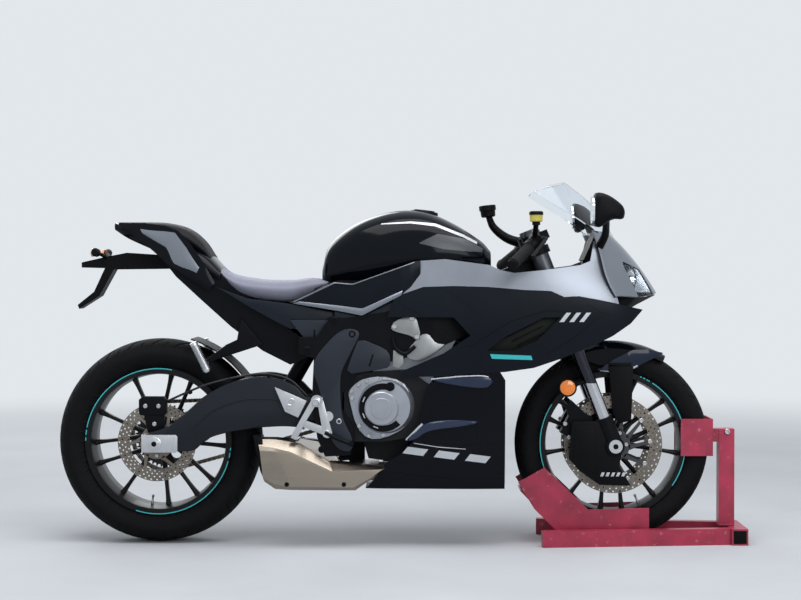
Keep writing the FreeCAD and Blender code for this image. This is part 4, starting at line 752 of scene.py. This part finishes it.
pair("reflector_backs", plastic,
     [lathe((507, -125, 485), (507, -135, 485), [(0, 20), (0.3, 27.5), (0.85, 28), (1, 26)], 40),
      rod((507, -127, 485), (566, -112, 505), 5)], body="steering", slot="black_metal")
pair("caliper_bolts", fittings, [bolts([(503, -90, 372), (535, -90, 388), (515, -90, 330)], 7, 5)],
     body="steering")

# Front fender.  A thin gloss moulding over the tyre whose sides sweep down to the fork legs; the black
# guard plates inside the legs hold it.

FENDER_RADIUS, FENDER_HALF, FENDER_WALL = 315, 71, 3
gloss = finish("gloss black paint", (0.0015, 0.0025, 0.005), "body_black", roughness=0.12, coat=0.06,
               specular=0.1)
turn = np.linspace(58.5, 121, 64)
low = np.interp(turn, [58.5, 62, 66.7, 78.3, 94.8, 102, 109.4, 121],
                [314, 309, 292, 234, 238, 252, 270, 312])
half = FENDER_HALF * np.clip((turn - 50) / 22, 0, 1) ** 0.4
share = np.concatenate([np.linspace(0, 1, 9)[:-1], np.linspace(1, 2, 12)])
skirt, roof = np.clip(share, 0, 1), np.clip(share - 1, 0, 1)
drop = (FENDER_RADIUS - 20 - low).clip(0)[:, None]
radius = FENDER_RADIUS - 20 - drop * (1 - skirt) + 23 * np.sin(roof * np.pi / 2)
across = half[:, None] * (1 - roof) ** 0.7
radius, across = (np.concatenate([part, side * part[:, -2::-1]], 1) for part,
                  side in ((radius, 1), (across, -1)))
outer, inner = (polar(FRONT_AXLE, radius - wall, np.radians(turn)[:, None],
                      -across * (1 - wall / FENDER_HALF))
                for wall in (0, FENDER_WALL))
made("front_fender_shell", gloss,
     [skin(np.concatenate([outer, inner[:, ::-1]], 1), False)] + [grid(np.stack([outer[k], inner[k]]))
                                                                  for k in (0, -1)],
     ["front_fender"], "steering", crease=50)
LEG_GUARD = from_axle((-17, 246), (59, 240), (53, 74), (15, 66), (-3, 94))
STAY = from_axle((-17, 240), (53, 240), (53, 252), (-17, 252))
pair("fender_guards", plastic, [plate(LEG_GUARD, -81, -84, 1)], body="steering", slot="black_metal")
pair("fender_stays", plastic, [plate(STAY, -68, -84, 1)], body="steering", slot="black_metal")

# Engine.  Cast covers in satin silver with a bolted rim, a black ring and an oil cap.

engine_silver = finish("cast silver", (0.34, 0.36, 0.4), "engine_silver", metallic=0.75, roughness=0.38,
                       bump=0.35,
                       grain=700, mottle=0.12)
dress(engine_silver, "engine_cylinders", "generator_cover")
dress(finish("dark cast metal", (0.012, 0.013, 0.015), metallic=0.3, roughness=0.5, specular=0.2, bump=0.35,
             grain=700), "engine_crankcase")
FLANGE = [(-157, 478), (-130, 505), (-104, 516), (-60, 522), (5, 508), (30, 470), (34, 427), (22, 385),
          (5, 358),
          (-52, 332), (-98, 330), (-134, 366), (-157, 456)]
# Round bosses: x and z of the middle, where they start and end across the bike, profile and sides.
BOSSES = ((-46, 430, -147, -184, [(0, 88), (0.1, 86), (0.85, 79), (1, 75)], 72),
          (-57, 425, -180, -191, [(0, 52), (0.75, 51), (1, 48)], 64),
          (-57, 425, -190, -192, [(0, 32), (0.5, 32), (1, 31)], 48),
          (-31, 491, -147, -180, [(0, 19), (0.9, 18), (1, 16)], 32))
made("clutch_cover_casting", engine_silver,
     [plate(cut_corners(FLANGE, 0.25, 1), -147, FACE, 3)]
     + [lathe((x, near, z), (x, far, z), profile, sides) for x, z, near, far, profile, sides in BOSSES],
     ["clutch_cover"], crease=30)
RIM_BOLTS = [(-148, 476), (-127, 496), (-102, 507), (-60, 512), (0, 499), (20, 466), (24, 428), (12, 390),
             (-2, 368), (-52, 343), (-95, 341), (-125, 371), (-147, 455)]
made("clutch_cover_bolts", fittings, [bolts([(x, FACE, z) for x, z in RIM_BOLTS], 6.5, 5)])
made("clutch_cover_ring", black_metal, [band((-52, 428), 54, 73, 75, 240, -184, 1.6)])
made("clutch_ring_dashes", stripe_silver, [band((-52, 428), 62, 65, start, 14, -185.6, 0.3)
                                           for start in (150, 196, 242)], slot="bright_alloy")
made("oil_cap", black_metal, [lathe((-31, -178, 491), (-31, -189, 491), [(0, 14), (0.8, 14), (1, 12)], 12),
                              plate([(-43, 488), (-19, 488), (-19, 494), (-43, 494)], -189, -193, 0.8)])
dress(finish("radiator black", (0.012, 0.012, 0.013), roughness=0.5, bump=0.8, grain=500,
             stretch=(0.05, 0.05, 1)),
      "radiator")

# Exhaust.  Brushed champagne steel: pipes, a folded silencer with a bevelled rim, its black outlet and a
# polished inlet box behind it.

champagne = finish("brushed champagne steel", (0.3, 0.26, 0.215), "champagne_steel", metallic=1,
                   roughness=0.28,
                   bump=0.25, stretch=(0.15, 1, 1), mottle=0.15)
dress(champagne, "exhaust_headers")
# Lines along the silencer, from its top over the outer face to the bottom and back inside.
FOLDS = (
    ((-430, -120, 334), (-376, -116, 333), (-301, -118, 324), (-211, -126, 266), (-106, -138, 253),
     (-49, -150, 246)),
    ((-430, -160, 330), (-378, -158, 329), (-305, -160, 318), (-214, -166, 260), (-107, -172, 249),
     (-51, -172, 243)),
    ((-427, -182, 312), (-380, -184, 306), (-330, -187, 294), (-205, -192, 236), (-120, -190, 240),
     (-55, -182, 241)),
    ((-424, -188, 298), (-385, -190, 296), (-338, -192, 286), (-208, -193, 226), (-125, -191, 233),
     (-60, -184, 238)),
    ((-414, -190, 215), (-385, -192, 200), (-338, -193, 190), (-208, -193, 188), (-140, -192, 188),
     (-80, -186, 222)),
    ((-410, -182, 204), (-378, -182, 182), (-335, -182, 179), (-206, -182, 178), (-136, -182, 178),
     (-78, -178, 218)),
    ((-410, -80, 204), (-378, -80, 182), (-335, -80, 179), (-206, -80, 178), (-136, -80, 178),
     (-78, -100, 218)),
    ((-430, -80, 330), (-378, -80, 329), (-305, -80, 318), (-214, -80, 260), (-107, -90, 249),
     (-51, -110, 243)))
made("silencer_shell", champagne, [skin(np.swapaxes(FOLDS, 0, 1))], ["silencer"], crease=16)
polished = finish("polished steel", (0.55, 0.52, 0.48), "champagne_steel", metallic=1, roughness=0.16,
                  bump=0.1)
INLET = [(-325, 318), (-304, 334), (-212, 318), (-186, 262), (-240, 262)]
OUTLET = [(-446, 342), (-420, 338), (-398, 236), (-412, 208), (-424, 236)]
made("silencer_inlet", polished, [plate(INLET, -100, -158, 6)])
made("silencer_outlet", black_metal, [plate(OUTLET, -92, -178, 4)])
made("silencer_bolts", black_metal, [bolts([(-342, -193, 197), (-170, -193, 197)], 7, 4)])

# Painted panels.  Thin moulded plastic: silver nose and shoulders, satin navy sides, gloss black belly and
# tail, with printed stripes and two winglets on each side.

silver = finish("metallic silver paint", (0.22, 0.24, 0.275), "body_silver", metallic=0.85, roughness=0.32,
                coat=0.25, bump=0.06, grain=2500, mottle=0.05)
dress(silver, "nose_cowl", "shoulder_panel_right", "shoulder_panel_left")
navy = finish("satin navy paint", (0.002, 0.004, 0.008), "body_navy", roughness=0.32, specular=0.14,
              bump=0.05)
dress(navy, "side_fairing_right", "side_fairing_left", "knee_panels")
dress(gloss, "belly_pan_right", "belly_pan_left")
dress(plastic, "undertray", "hugger", "dash")
SIDE, BELLY = (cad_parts[node] for node in ("side_fairing_right", "belly_pan_right"))
pair("side_bars", stripe_silver,
     [printed([(x + 22, 714), (x + 36, 714)], [(x, 686), (x + 14, 686)], SIDE, 6, 6)
                                  for x in (476, 506, 536)])
pair("side_turquoise_bar", turquoise,
     [printed([(269, 590), (392, 585)], [(274, 576), (396, 572)], SIDE, 30, 4, 1.2)])
KNEE_REACH = [(-335, 138), (-250, 158), (-200, 166), (-100, 176), (0, 181), (30, 178), (70, 168)]
KNEE_TOP = [(-333, 745), (-200, 806), (-144, 801), (43, 868), (60, 870)]
KNEE_BOTTOM = [(-333, 741), (-189, 718), (-116, 704), (0, 764), (34, 790), (60, 830)]
pair("knee_mouldings", navy, [moulding(KNEE_TOP, KNEE_BOTTOM, KNEE_REACH, 4, 0, 80, 12)], ["knee_panels"])
along = np.linspace(-262, 58, 40)
outside = np.stack([along, -np.interp(along, *np.array(KNEE_REACH, float).T) + 2,
                    np.interp(along, *np.array(KNEE_TOP, float).T) - 3], -1)
inside = np.stack([along, np.full(40, -80.0), np.interp(along, [-262, -180, 58], [794, 815, 822])], -1)
pair("tank_side_covers", plastic,
     [skin(np.stack([outside, inside, inside - (0, 0, 3), outside - (0, 0, 3)], 1))])
pair("knee_stripe", silver,
     [moulding([(-303, 748), (-188, 735), (-113, 727), (6, 780)],
               [(-328, 741), (-189, 719), (-116, 705), (2, 766)],
               KNEE_REACH, 2, 1.2, 60, 5),
      moulding([(-330, 745), (-200, 805), (-144, 800), (43, 867)],
               [(-318, 745), (-198, 801), (-144, 796), (41, 862)],
               KNEE_REACH, 2, 1.2, 60, 3)])
GILL = [(300, 645), (428, 708), (492, 708), (414, 622), (342, 592), (250, 592)]
mesh_black = finish("moulded grille", (0.006, 0.008, 0.006), "black_plastic", roughness=0.55, specular=0.2,
                    bump=1.0,
                    grain=260)
pair("gill_grilles", mesh_black, [plate(GILL, -166, -169, 0.8)])
pair("gill_slats", black_metal,
     [plate([(x, z), (x + 92, z + 46), (x + 94, z + 43), (x + 2, z - 3)], -168, -178, 0.8)
                                 for x, z in ((318, 641), (336, 629), (352, 616))], slot="black_plastic")
SEAMS = [[(-10, 748), (60, 708), (128, 650), (206, 612), (250, 640), (330, 690), (440, 722), (520, 716)],
         [(130, 786), (196, 742), (250, 700), (262, 668)], [(440, 592), (520, 640), (600, 706)],
         [(560, 742), (600, 716), (650, 704)]]
pair("fairing_seams", black_metal, [printed(line, [(x + 1.5, z - 3.5) for x, z in line], SIDE, 60, 2, 0.15)
                                    for line in SEAMS], slot="black_plastic")
FLARE_REACH = [(600, 78), (700, 76), (760, 68), (810, 54)]
fender_navy = finish("gloss navy fender", (0.006, 0.012, 0.03), "body_black", roughness=0.12, coat=0.2,
                     specular=0.2)
pair("fender_flares", fender_navy,
     [moulding([(605, 537), (660, 572), (712, 597), (760, 598), (805, 588)],
               [(608, 533), (681, 526), (727, 547), (770, 568), (806, 585)], FLARE_REACH, 3, 0, 40, 8)],
     body="steering")
pair("fender_edges", stripe_silver,
     [moulding([(612, 535), (681, 531), (725, 551)], [(610, 532), (681, 524), (728, 546)], FLARE_REACH, 2,
               1, 30, 3)],
     body="steering")
BELLY_SEAMS = [[(100, 480), (190, 462), (300, 470)], [(60, 330), (150, 316), (300, 322)],
               [(240, 470), (226, 330)],
               [(-40, 232), (120, 216), (300, 214)]]
pair("belly_seams", black_metal, [printed(line, [(x + 2.5, z - 3) for x, z in line], BELLY, 50, 2, 0.15)
                                  for line in BELLY_SEAMS], slot="black_plastic")
pair("belly_edge_lines", stripe_silver,
     [printed([(40, 322), (110, 311), (196, 304)], [(41, 319.5), (110, 308.5), (196, 302)], BELLY, 40, 2)])
pair("belly_bars", stripe_silver,
     [printed([(x + 16, z + 20), (x + 78, z + 12)], [(x, z), (x + 62, z - 8)], BELLY, 24, 6)
      for x, z in ((6, 290), (100, 279), (194, 268))])


def winglet(outline, near, far):
    """A fin that stands out across the bike and narrows towards its tip."""
    deep = far - near
    return drawn_in(outline, ((1, near), (1, near + 0.5 * deep), (0.94, far - 0.12 * deep), (0.8, far)))


fin_navy = finish("gloss navy fin", (0.01, 0.02, 0.05), "body_navy", roughness=0.16, coat=0.3,
                  specular=0.25)
UPPER_FIN = [(84, 514), (240, 527), (268, 522), (281, 508), (270, 492), (250, 486), (180, 493), (120, 504)]
LOWER_FIN = [(14, 331), (68, 385), (158, 394), (250, 388), (208, 375), (74, 361), (29, 325)]
pair("fin_edges", stripe_silver,
     [tube([(92, -195, 514), (170, -203, 522), (240, -204, 525), (264, -203, 521)], 30, 2, 8),
                                  tube([(18, -186, 331), (42, -196, 356), (66, -199, 380)], 16, 3.5, 8)])
pair("winglets", fin_navy, [winglet(UPPER_FIN, -186, -203), winglet(LOWER_FIN, -180, -200)])

# Tank and tail.  A pressed steel tank in gloss black with a grey inset and a painted highlight, a silver
# line along its top edge, its round filler cap, and the moulded tail with its silver inserts and lamps.

TANK = [(-242, 62, 812, 852, 826), (-224, 88, 806, 915, 835), (-172, 112, 804, 965, 850),
        (-100, 132, 806, 1003, 872), (-10, 146, 806, 1026, 892), (80, 150, 806, 1021, 900),
        (167, 138, 808, 984, 896), (244, 112, 812, 935, 880), (276, 84, 820, 902, 862)]
tank = made("fuel_tank_shell", gloss,
            [skin(loft(TANK, 90))] + [rod((150, y, 770), (150, y * 0.98, 850), 9) for y in (-128, 128)],
            ["fuel_tank"], crease=50)
tank_grey = finish("dark grey tank inset", (0.03, 0.034, 0.04), "body_black", roughness=0.35, coat=0.05)
pair("tank_insets", tank_grey, [printed([(57, 925), (112, 952), (200, 936), (250, 908)],
                                        [(59, 922), (130, 905), (210, 898), (248, 897)], tank, 40, 8, 0.4)])
# Painted highlight: a silver line printed along the tank's top edge stands in for the sky's reflection on
# its upper crease.
pair("tank_painted_highlight_lines", stripe_silver, [printed([(-60, 984), (30, 990), (105, 984), (190, 951), (234, 928)],
                                                [(-60, 981), (30, 984), (105, 975), (190, 942), (232, 921)],
                                                tank,
                                                60, 3, 0.4)])
made("filler_cap", black_metal,
     [lathe((70, 0, 1010), (72, 0, 1028), [(0, 44), (0.6, 44), (0.8, 42), (0.8, 34), (1, 32)], 48)])
TAIL = [(-886, 40, 966, 990, 978), (-840, 66, 938, 975, 958), (-767, 92, 906, 960, 938),
        (-721, 112, 884, 945, 920),
        (-660, 122, 852, 925, 896), (-600, 124, 822, 900, 860), (-550, 118, 800, 850, 825)]
made("tail_shell", gloss, [skin(loft(TAIL, 60))], ["tail_cowl"], crease=50)
TAIL_REACH = [(-886, 46), (-840, 72), (-790, 92), (-721, 112), (-660, 126), (-600, 128), (-550, 122)]
pair("tail_sides", gloss,
     [moulding([(-871, 988), (-788, 986), (-718, 977), (-679, 962), (-642, 925), (-602, 867), (-566, 803)],
               [(-868, 978), (-788, 926), (-712, 861), (-584, 780)], TAIL_REACH, 4, 0, 70, 10)])
pair("tail_inserts", silver,
     [moulding([(-800, 970), (-688, 956), (-654, 912), (-612, 850)], [(-790, 952), (-718, 907), (-691, 862),
                                                                      (-622, 831)], TAIL_REACH, 2, 1.5, 50,
                                                                      8)])
tail_red = finish("red lamp lens", (0.45, 0.01, 0.012), roughness=0.1, coat=0.7, mottle=0.2,
                  mottle_size=200)
made("tail_lamp", tail_red, [lathe((-880, 0, 978), (-889, 0, 979), [(0, 12), (0.5, 12), (1, 9)], 4)])
pair("indicator_bodies", plastic,
     [lathe((-930, -66, 893), (-934, -113, 897), [(0, 5), (0.3, 9), (0.55, 13), (0.9, 13), (1, 8)], 20),
      tube([(-912, -20, 876), (-920, -44, 886), (-930, -68, 893)], 12, 5.5, 10)])
pair("indicator_lenses", amber,
     [lathe((-942, -92, 895), (-950, -92, 895), [(0, 12), (0.7, 12), (1, 8)], 20)])

# Seats.  Foam pads in stretched leather: a pale one for the rider with a sewn seam along each side, and a
# black one for the pillion.


def pad(stations, rows, seam_depth, waist, columns=96):
    """The loft, drawn in along a sewn seam at one height of its side and puckered by a fine sine."""
    surface = loft(stations, rows, columns)
    round_pad = np.linspace(0, 1, columns, endpoint=False)[None, :]
    along = np.linspace(0, 1, rows)[:, None]
    nearest = np.minimum(np.abs(round_pad - waist), np.abs(round_pad - (1 - waist)))
    groove = np.exp(-(nearest / 0.012) ** 2) * np.sin(np.pi * along) ** 0.2
    pucker = 0.25 * groove * np.sin(along * 2 * np.pi * 46)
    out = surface - surface.mean(1, keepdims=True)
    out /= np.linalg.norm(out, axis=2, keepdims=True)
    return [skin(surface - out * (seam_depth * groove + pucker)[..., None])]


def leather(name, colour, slot):
    """Grained leather: smooth Voronoi cells pressed over the finish's own noise."""
    material = finish(name, colour, slot, roughness=0.58, specular=0.18, bump=0.4, grain=900, mottle=0.08)
    tree = material.node_tree
    cells = add(tree, "TexVoronoi", Vector=tree.nodes["mapping"].outputs["Vector"], Scale=420)
    relief = add(tree, "Bump", Height=cells.outputs["Distance"],
                 Normal=tree.nodes["relief"].outputs["Normal"],
                 Strength=0.35, Distance=0.0006)
    feed(tree, tree.nodes["Principled BSDF"].inputs["Normal"], relief.outputs["Normal"])
    return material


RIDER = [(-562, 92, 836, 855, 846), (-527, 114, 794, 834, 816), (-483, 126, 766, 822, 796),
         (-415, 131, 750, 813, 786), (-337, 128, 746, 812, 784), (-280, 116, 760, 818, 794),
         (-236, 98, 780, 813, 802), (-212, 78, 792, 805, 799)]
PILLION = [(-874, 44, 966, 991, 978), (-790, 76, 944, 991, 970), (-721, 96, 930, 988, 962),
           (-660, 106, 912, 972, 944), (-614, 102, 892, 936, 914), (-582, 88, 868, 888, 878)]
lilac = leather("pale seat leather", (0.2, 0.205, 0.26), "seat_lilac")
rider = made("rider_seat_pad", lilac, pad(RIDER, 110, 2.2, 0.21), ["rider_seat"], crease=60)
seat_black = leather("black seat leather", (0.004, 0.004, 0.006), "seat_black")
pillion = made("pillion_seat_pad", seat_black, pad(PILLION, 100, 2.0, 0.2), ["pillion_seat"], crease=60)

# Handlebars.  Ribbed rubber grips with alloy end weights, and the fluid cups on their stalks.

grip_rubber = finish("grip rubber", (0.012, 0.012, 0.013), "rubber", roughness=0.75, specular=0.2, bump=0.4,
                     grain=1500)
BAR_START, BAR_END = np.array([426.0, -122, 945]), np.array([328.0, -345, 858])


def on_bar(start, end, profile, sides):
    """A turned piece on the right bar, between two shares of the way to its end."""
    return lathe(*(BAR_START + share * (BAR_END - BAR_START) for share in (start, end)), profile, sides)


GRIP = [(0, 19), (0.03, 19), (0.04, 15.5)] + ribs(29, 0.06, 0.03, (0, 15.6), (0.007, 16.8), (0.02, 16.8),
                                                  (0.027, 15.6))
BLOCK_PROFILE = [(0, 17), (0.05, 21), (0.45, 22), (0.5, 20.5), (0.55, 22), (0.95, 21), (1, 18)]
pair("ribbed_grips", grip_rubber, [on_bar(0.462, 0.985, GRIP + [(0.97, 18.5), (1, 18)], 28)], ["grips"],
     "steering")
pair("bar_weights", black_metal, [on_bar(0.985, 1.03, [(0, 13), (0.1, 15.5), (0.8, 15.5), (1, 12)], 28)],
     body="steering")
pair("switch_blocks", plastic, [on_bar(0.27, 0.45, BLOCK_PROFILE, 20)], body="steering", slot="black_metal")
fluid = finish("brake fluid cup", (0.5, 0.42, 0.06), roughness=0.25, coat=0.4, mottle=0.1)
made("brake_cup", fluid, [lathe((403, -250, 985), (403, -250, 1006), [(0, 17), (0.1, 19), (1, 19.5)], 32)],
     body="steering")
CLUTCH_CUP = [(0, 19), (0.1, 23), (0.55, 24), (0.57, 27), (0.95, 27), (1, 24)]
CLUTCH_ARM = [(279, 165, 1014), (296, 168, 978), (340, 172, 944), (400, 176, 925)]
made("cup_caps", plastic,
     [lathe((403, -250, 1005), (403, -250, 1016), [(0, 21), (0.7, 21), (1, 18)], 24),
      rod((403, -250, 975), (403, -250, 987), 12),
      lathe((278, 165, 1012), (274, 165, 1050), CLUTCH_CUP, 24),
      rod((403, -176, 935), (403, -250, 980), 8), tube(CLUTCH_ARM, 20, np.linspace(10, 17, 20), 14),
      rod((398, 150, 935), (398, 196, 925), 20), rod((406, -150, 938), (406, -196, 928), 20)],
      body="steering",
     slot="black_metal")

# Lamps, screen and mirrors.  Clear polycarbonate lenses over black bowls with a bright projector, a clear
# swept screen, and black mirrors with glass at the back and a clear indicator at the front.

glass = finish("clear polycarbonate", (0.9, 0.93, 0.96), "lamp", roughness=0.02, specular=0.5, mottle=0.02)
for socket, value in (("Transmission Weight", 1.0), ("IOR", 1.2)):
    glass.node_tree.nodes["Principled BSDF"].inputs[socket].default_value = value
dress(glass, "windscreen", "headlights")
LAMP_INNER = (700, 62, 890), (744, 62, 824), (776, 62, 768)
LAMP_OUTER = (660, 118, 898), (700, 120, 822), (726, 122, 762)
u, v = np.linspace(0, 1, 16)[:, None, None], np.linspace(0, 1, 14)[None, :, None]
down_inner, down_outer = (smooth(line, 14)[None] for line in (LAMP_INNER, LAMP_OUTER))
deep = (1 - np.abs(2 * u - 1) ** 6) * (1 - np.abs(2 * v - 1) ** 6)
bowl = ((down_inner + u * (down_outer - down_inner)) * (1, -1, 1)
        - np.concatenate([6 + 26 * deep, 0 * deep, 4 + 6 * deep], 2))
lamp_black = finish("lamp bowl", (0.42, 0.44, 0.47), "black_plastic", metallic=1, roughness=0.22,
                    mottle=0.2,
                    mottle_size=60)
pair("lamp_bowls", lamp_black, [skin(np.concatenate([bowl, (bowl - (3, 0, 0))[:, ::-1]], 1), False)])
pair("lamp_projectors", chrome,
     [lathe((692, -92, 806), (716, -92, 803), [(0, 14), (0.2, 20), (0.9, 21), (1, 17)], 32),
                                 tube([(668, -104, 872), (690, -84, 868), (706, -70, 858), (726, -68, 826)],
                                      20, 3, 8)])
CHIN = ((-121, 700), (-114, 716), (-62, 768), (0, 784), (62, 768), (114, 716), (121, 700))
made("nose_chin", plastic, [skin([[(645, y, 776), (front, y, 773), (front + 4, y, 764),
                                   (650 + 0.5 * (front - 650), y, 727), (640, y, 734)] for y,
                                   front in CHIN])])
MIRROR = [(561, 1064), (584, 1069), (614, 1058), (649, 1031), (657, 1011), (652, 988), (619, 991),
          (584, 964),
          (564, 970)]
MIRROR_ROWS = (0.7, -366), (0.86, -361), (0.95, -350), (1, -330), (0.94, -292), (0.88, -286), (0.76, -284)
MIRROR_ARM = [(602, -150, 915), (612, -200, 945), (610, -250, 972), (606, -300, 992)]
pair("mirror_shells", plastic, [drawn_in(MIRROR, MIRROR_ROWS, 0.22, (606.0, 1018.0)),
                                tube(MIRROR_ARM, 24, np.linspace(13, 9, 24), 14)], ["mirrors"], crease=45)
mirror_glass = finish("mirror glass", (0.75, 0.78, 0.8), "chrome", metallic=1, roughness=0.04)
ring = cut_corners([(-288, 976), (-358, 980), (-356, 1052), (-290, 1060)], 0.2)
pair("mirror_glasses", mirror_glass, [skin([np.insert(ring, 0, x, axis=1) for x in (559.5, 566)])])
INDICATOR = [(618, 1047), (648, 1026), (656, 1008), (640, 1000), (622, 1010)]
pair("mirror_indicators", glass, [winglet(INDICATOR, -330, -352)])

# Chock.  Welded steel tube and plate under raspberry paint that is scuffed and chipped, with plated bolts
# and weld beads at its joints.

chock_red = finish("raspberry chock paint", (0.33, 0.018, 0.055), "chock_red", roughness=0.42, coat=0.08,
                   mottle=0.3,
                   bump=0.3, mottle_size=14)
tree = chock_red.node_tree
scuff = add(tree, "TexNoise", Vector=tree.nodes["mapping"].outputs["Vector"], Scale=38, Detail=9,
            Roughness=0.7)
tinted(chock_red, (0.5, 0.16, 0.2), scuff.outputs["Fac"], 0.6, 0.68)
dress(chock_red, "chock_base", "chock_cradle", "chock_post")
pair("chock_tube_ends", dark_hole,
     [plate([(1017, 5), (1057, 5), (1057, 45), (1017, 45)], -98, -100.6, 0.5)],
     body="steering", slot="chock_red")
pair("chock_bolts", fittings, [bolts([(520, -116, 24), (1010, -22, 342), (1034, -86, 26)], 9, 7)],
     body="steering")
# Weld beads: start, end, points, radius, height and pitch of the ripples.
WELDS = (((985, -22, 52), (1032, -22, 52), 30, 3, 0.8, 2.1),
         ((530, -77, 10), (760, -77, 10), 80, 2.6, 0.7, 2.3))
pair("chock_welds", chock_red,
     [tube([start, end], count, radius + ripple * np.sin(np.arange(count) * pitch), 8)
                                for start, end, count, radius, ripple, pitch in WELDS], body="steering")

# Studio.  A pale floor, a pale surround and soft light from above and beside, seen from where the
# photograph was taken: square to the right side, five metres off.

CAMERA_PLACE, CAMERA_AIM, LENS_MM = (0.059, -5.3, 0.830), (-0.002, 0.0, 0.749), 76.5
BACKGROUND, REACH = (0.76, 0.80, 0.84, 1), 30.0
FADE_NEAR, FADE_FAR = 1.8, 7.0


def aimed(item, place, target):
    """Put a lamp or the camera at a place, looking at a target."""
    item.location = place
    item.rotation_euler = (Vector(target) - Vector(place)).to_track_quat("-Z", "Y").to_euler()
    bpy.context.scene.collection.objects.link(item)


def softbox(name, place, target, width, height, watts):
    lamp = bpy.data.lights.new(name, "AREA")
    lamp.shape = "RECTANGLE"
    lamp.size, lamp.size_y = width, height
    lamp.energy = watts
    aimed(bpy.data.objects.new(name, lamp), place, target)


softbox("overhead", (0.2, -0.9, 3.4), (0, 0, 0.5), 4.0, 2.4, 120)
softbox("beside the camera", (2.2, -4.2, 2.4), (0.1, 0, 0.5), 2.5, 2.0, 60)
softbox("far side", (-1.8, 3.6, 2.6), (0, 0, 0.6), 3.0, 2.0, 60)
camera = bpy.data.cameras.new("camera")
camera.lens = LENS_MM
camera.sensor_width = 36
camera_item = bpy.data.objects.new("camera", camera)
aimed(camera_item, CAMERA_PLACE, CAMERA_AIM)
bpy.context.scene.camera = camera_item

floor = linked("floor", [(-REACH, -REACH, 0), (REACH, -REACH, 0), (REACH, REACH, 0), (-REACH, REACH, 0)],
               [(0, 1, 2, 3)])
concrete = finish("pale concrete", (0.5, 0.52, 0.55), roughness=0.85, specular=0.2, mottle=0.05,
                  mottle_size=2,
                  bump=0.3, grain=60)
tree = concrete.node_tree
distance = add(tree, "VectorMath", {"operation": "LENGTH"},
               Vector=tree.nodes["Texture Coordinate"].outputs["Object"]).outputs["Value"]
fade = add(tree, "MapRange", {"interpolation_type": "SMOOTHSTEP"}, Value=distance, From_Min=FADE_NEAR,
           From_Max=FADE_FAR)
blend = add(tree, "MixShader", Fac=fade.outputs["Result"])
feed(tree, blend.inputs[1], tree.nodes["Principled BSDF"].outputs["BSDF"])
feed(tree, blend.inputs[2], add(tree, "Emission", Color=BACKGROUND).outputs["Emission"])
feed(tree, tree.nodes["Material Output"].inputs["Surface"], blend.outputs["Shader"])
floor.data.materials.append(concrete)

# The surround is brighter for rays that show it than for rays that light the bike.
world = bpy.data.worlds.new("surround")
bpy.context.scene.world = world
world.use_nodes = True
tree = world.node_tree
rays = add(tree, "LightPath").outputs
shown = rays["Is Camera Ray"]
for ray in ("Is Transmission Ray", "Is Glossy Ray"):
    highest = add(tree, "Math", {"operation": "MAXIMUM"})
    for socket, value in zip(highest.inputs, (shown, rays[ray])):
        feed(tree, socket, value)
    shown = highest.outputs["Value"]
strength = add(tree, "MapRange", Value=shown, To_Min=0.55, To_Max=1.0)
feed(tree, tree.nodes["Background"].inputs["Color"], BACKGROUND)
feed(tree, tree.nodes["Background"].inputs["Strength"], strength.outputs["Result"])
bpy.context.scene.view_settings.view_transform = "Standard"
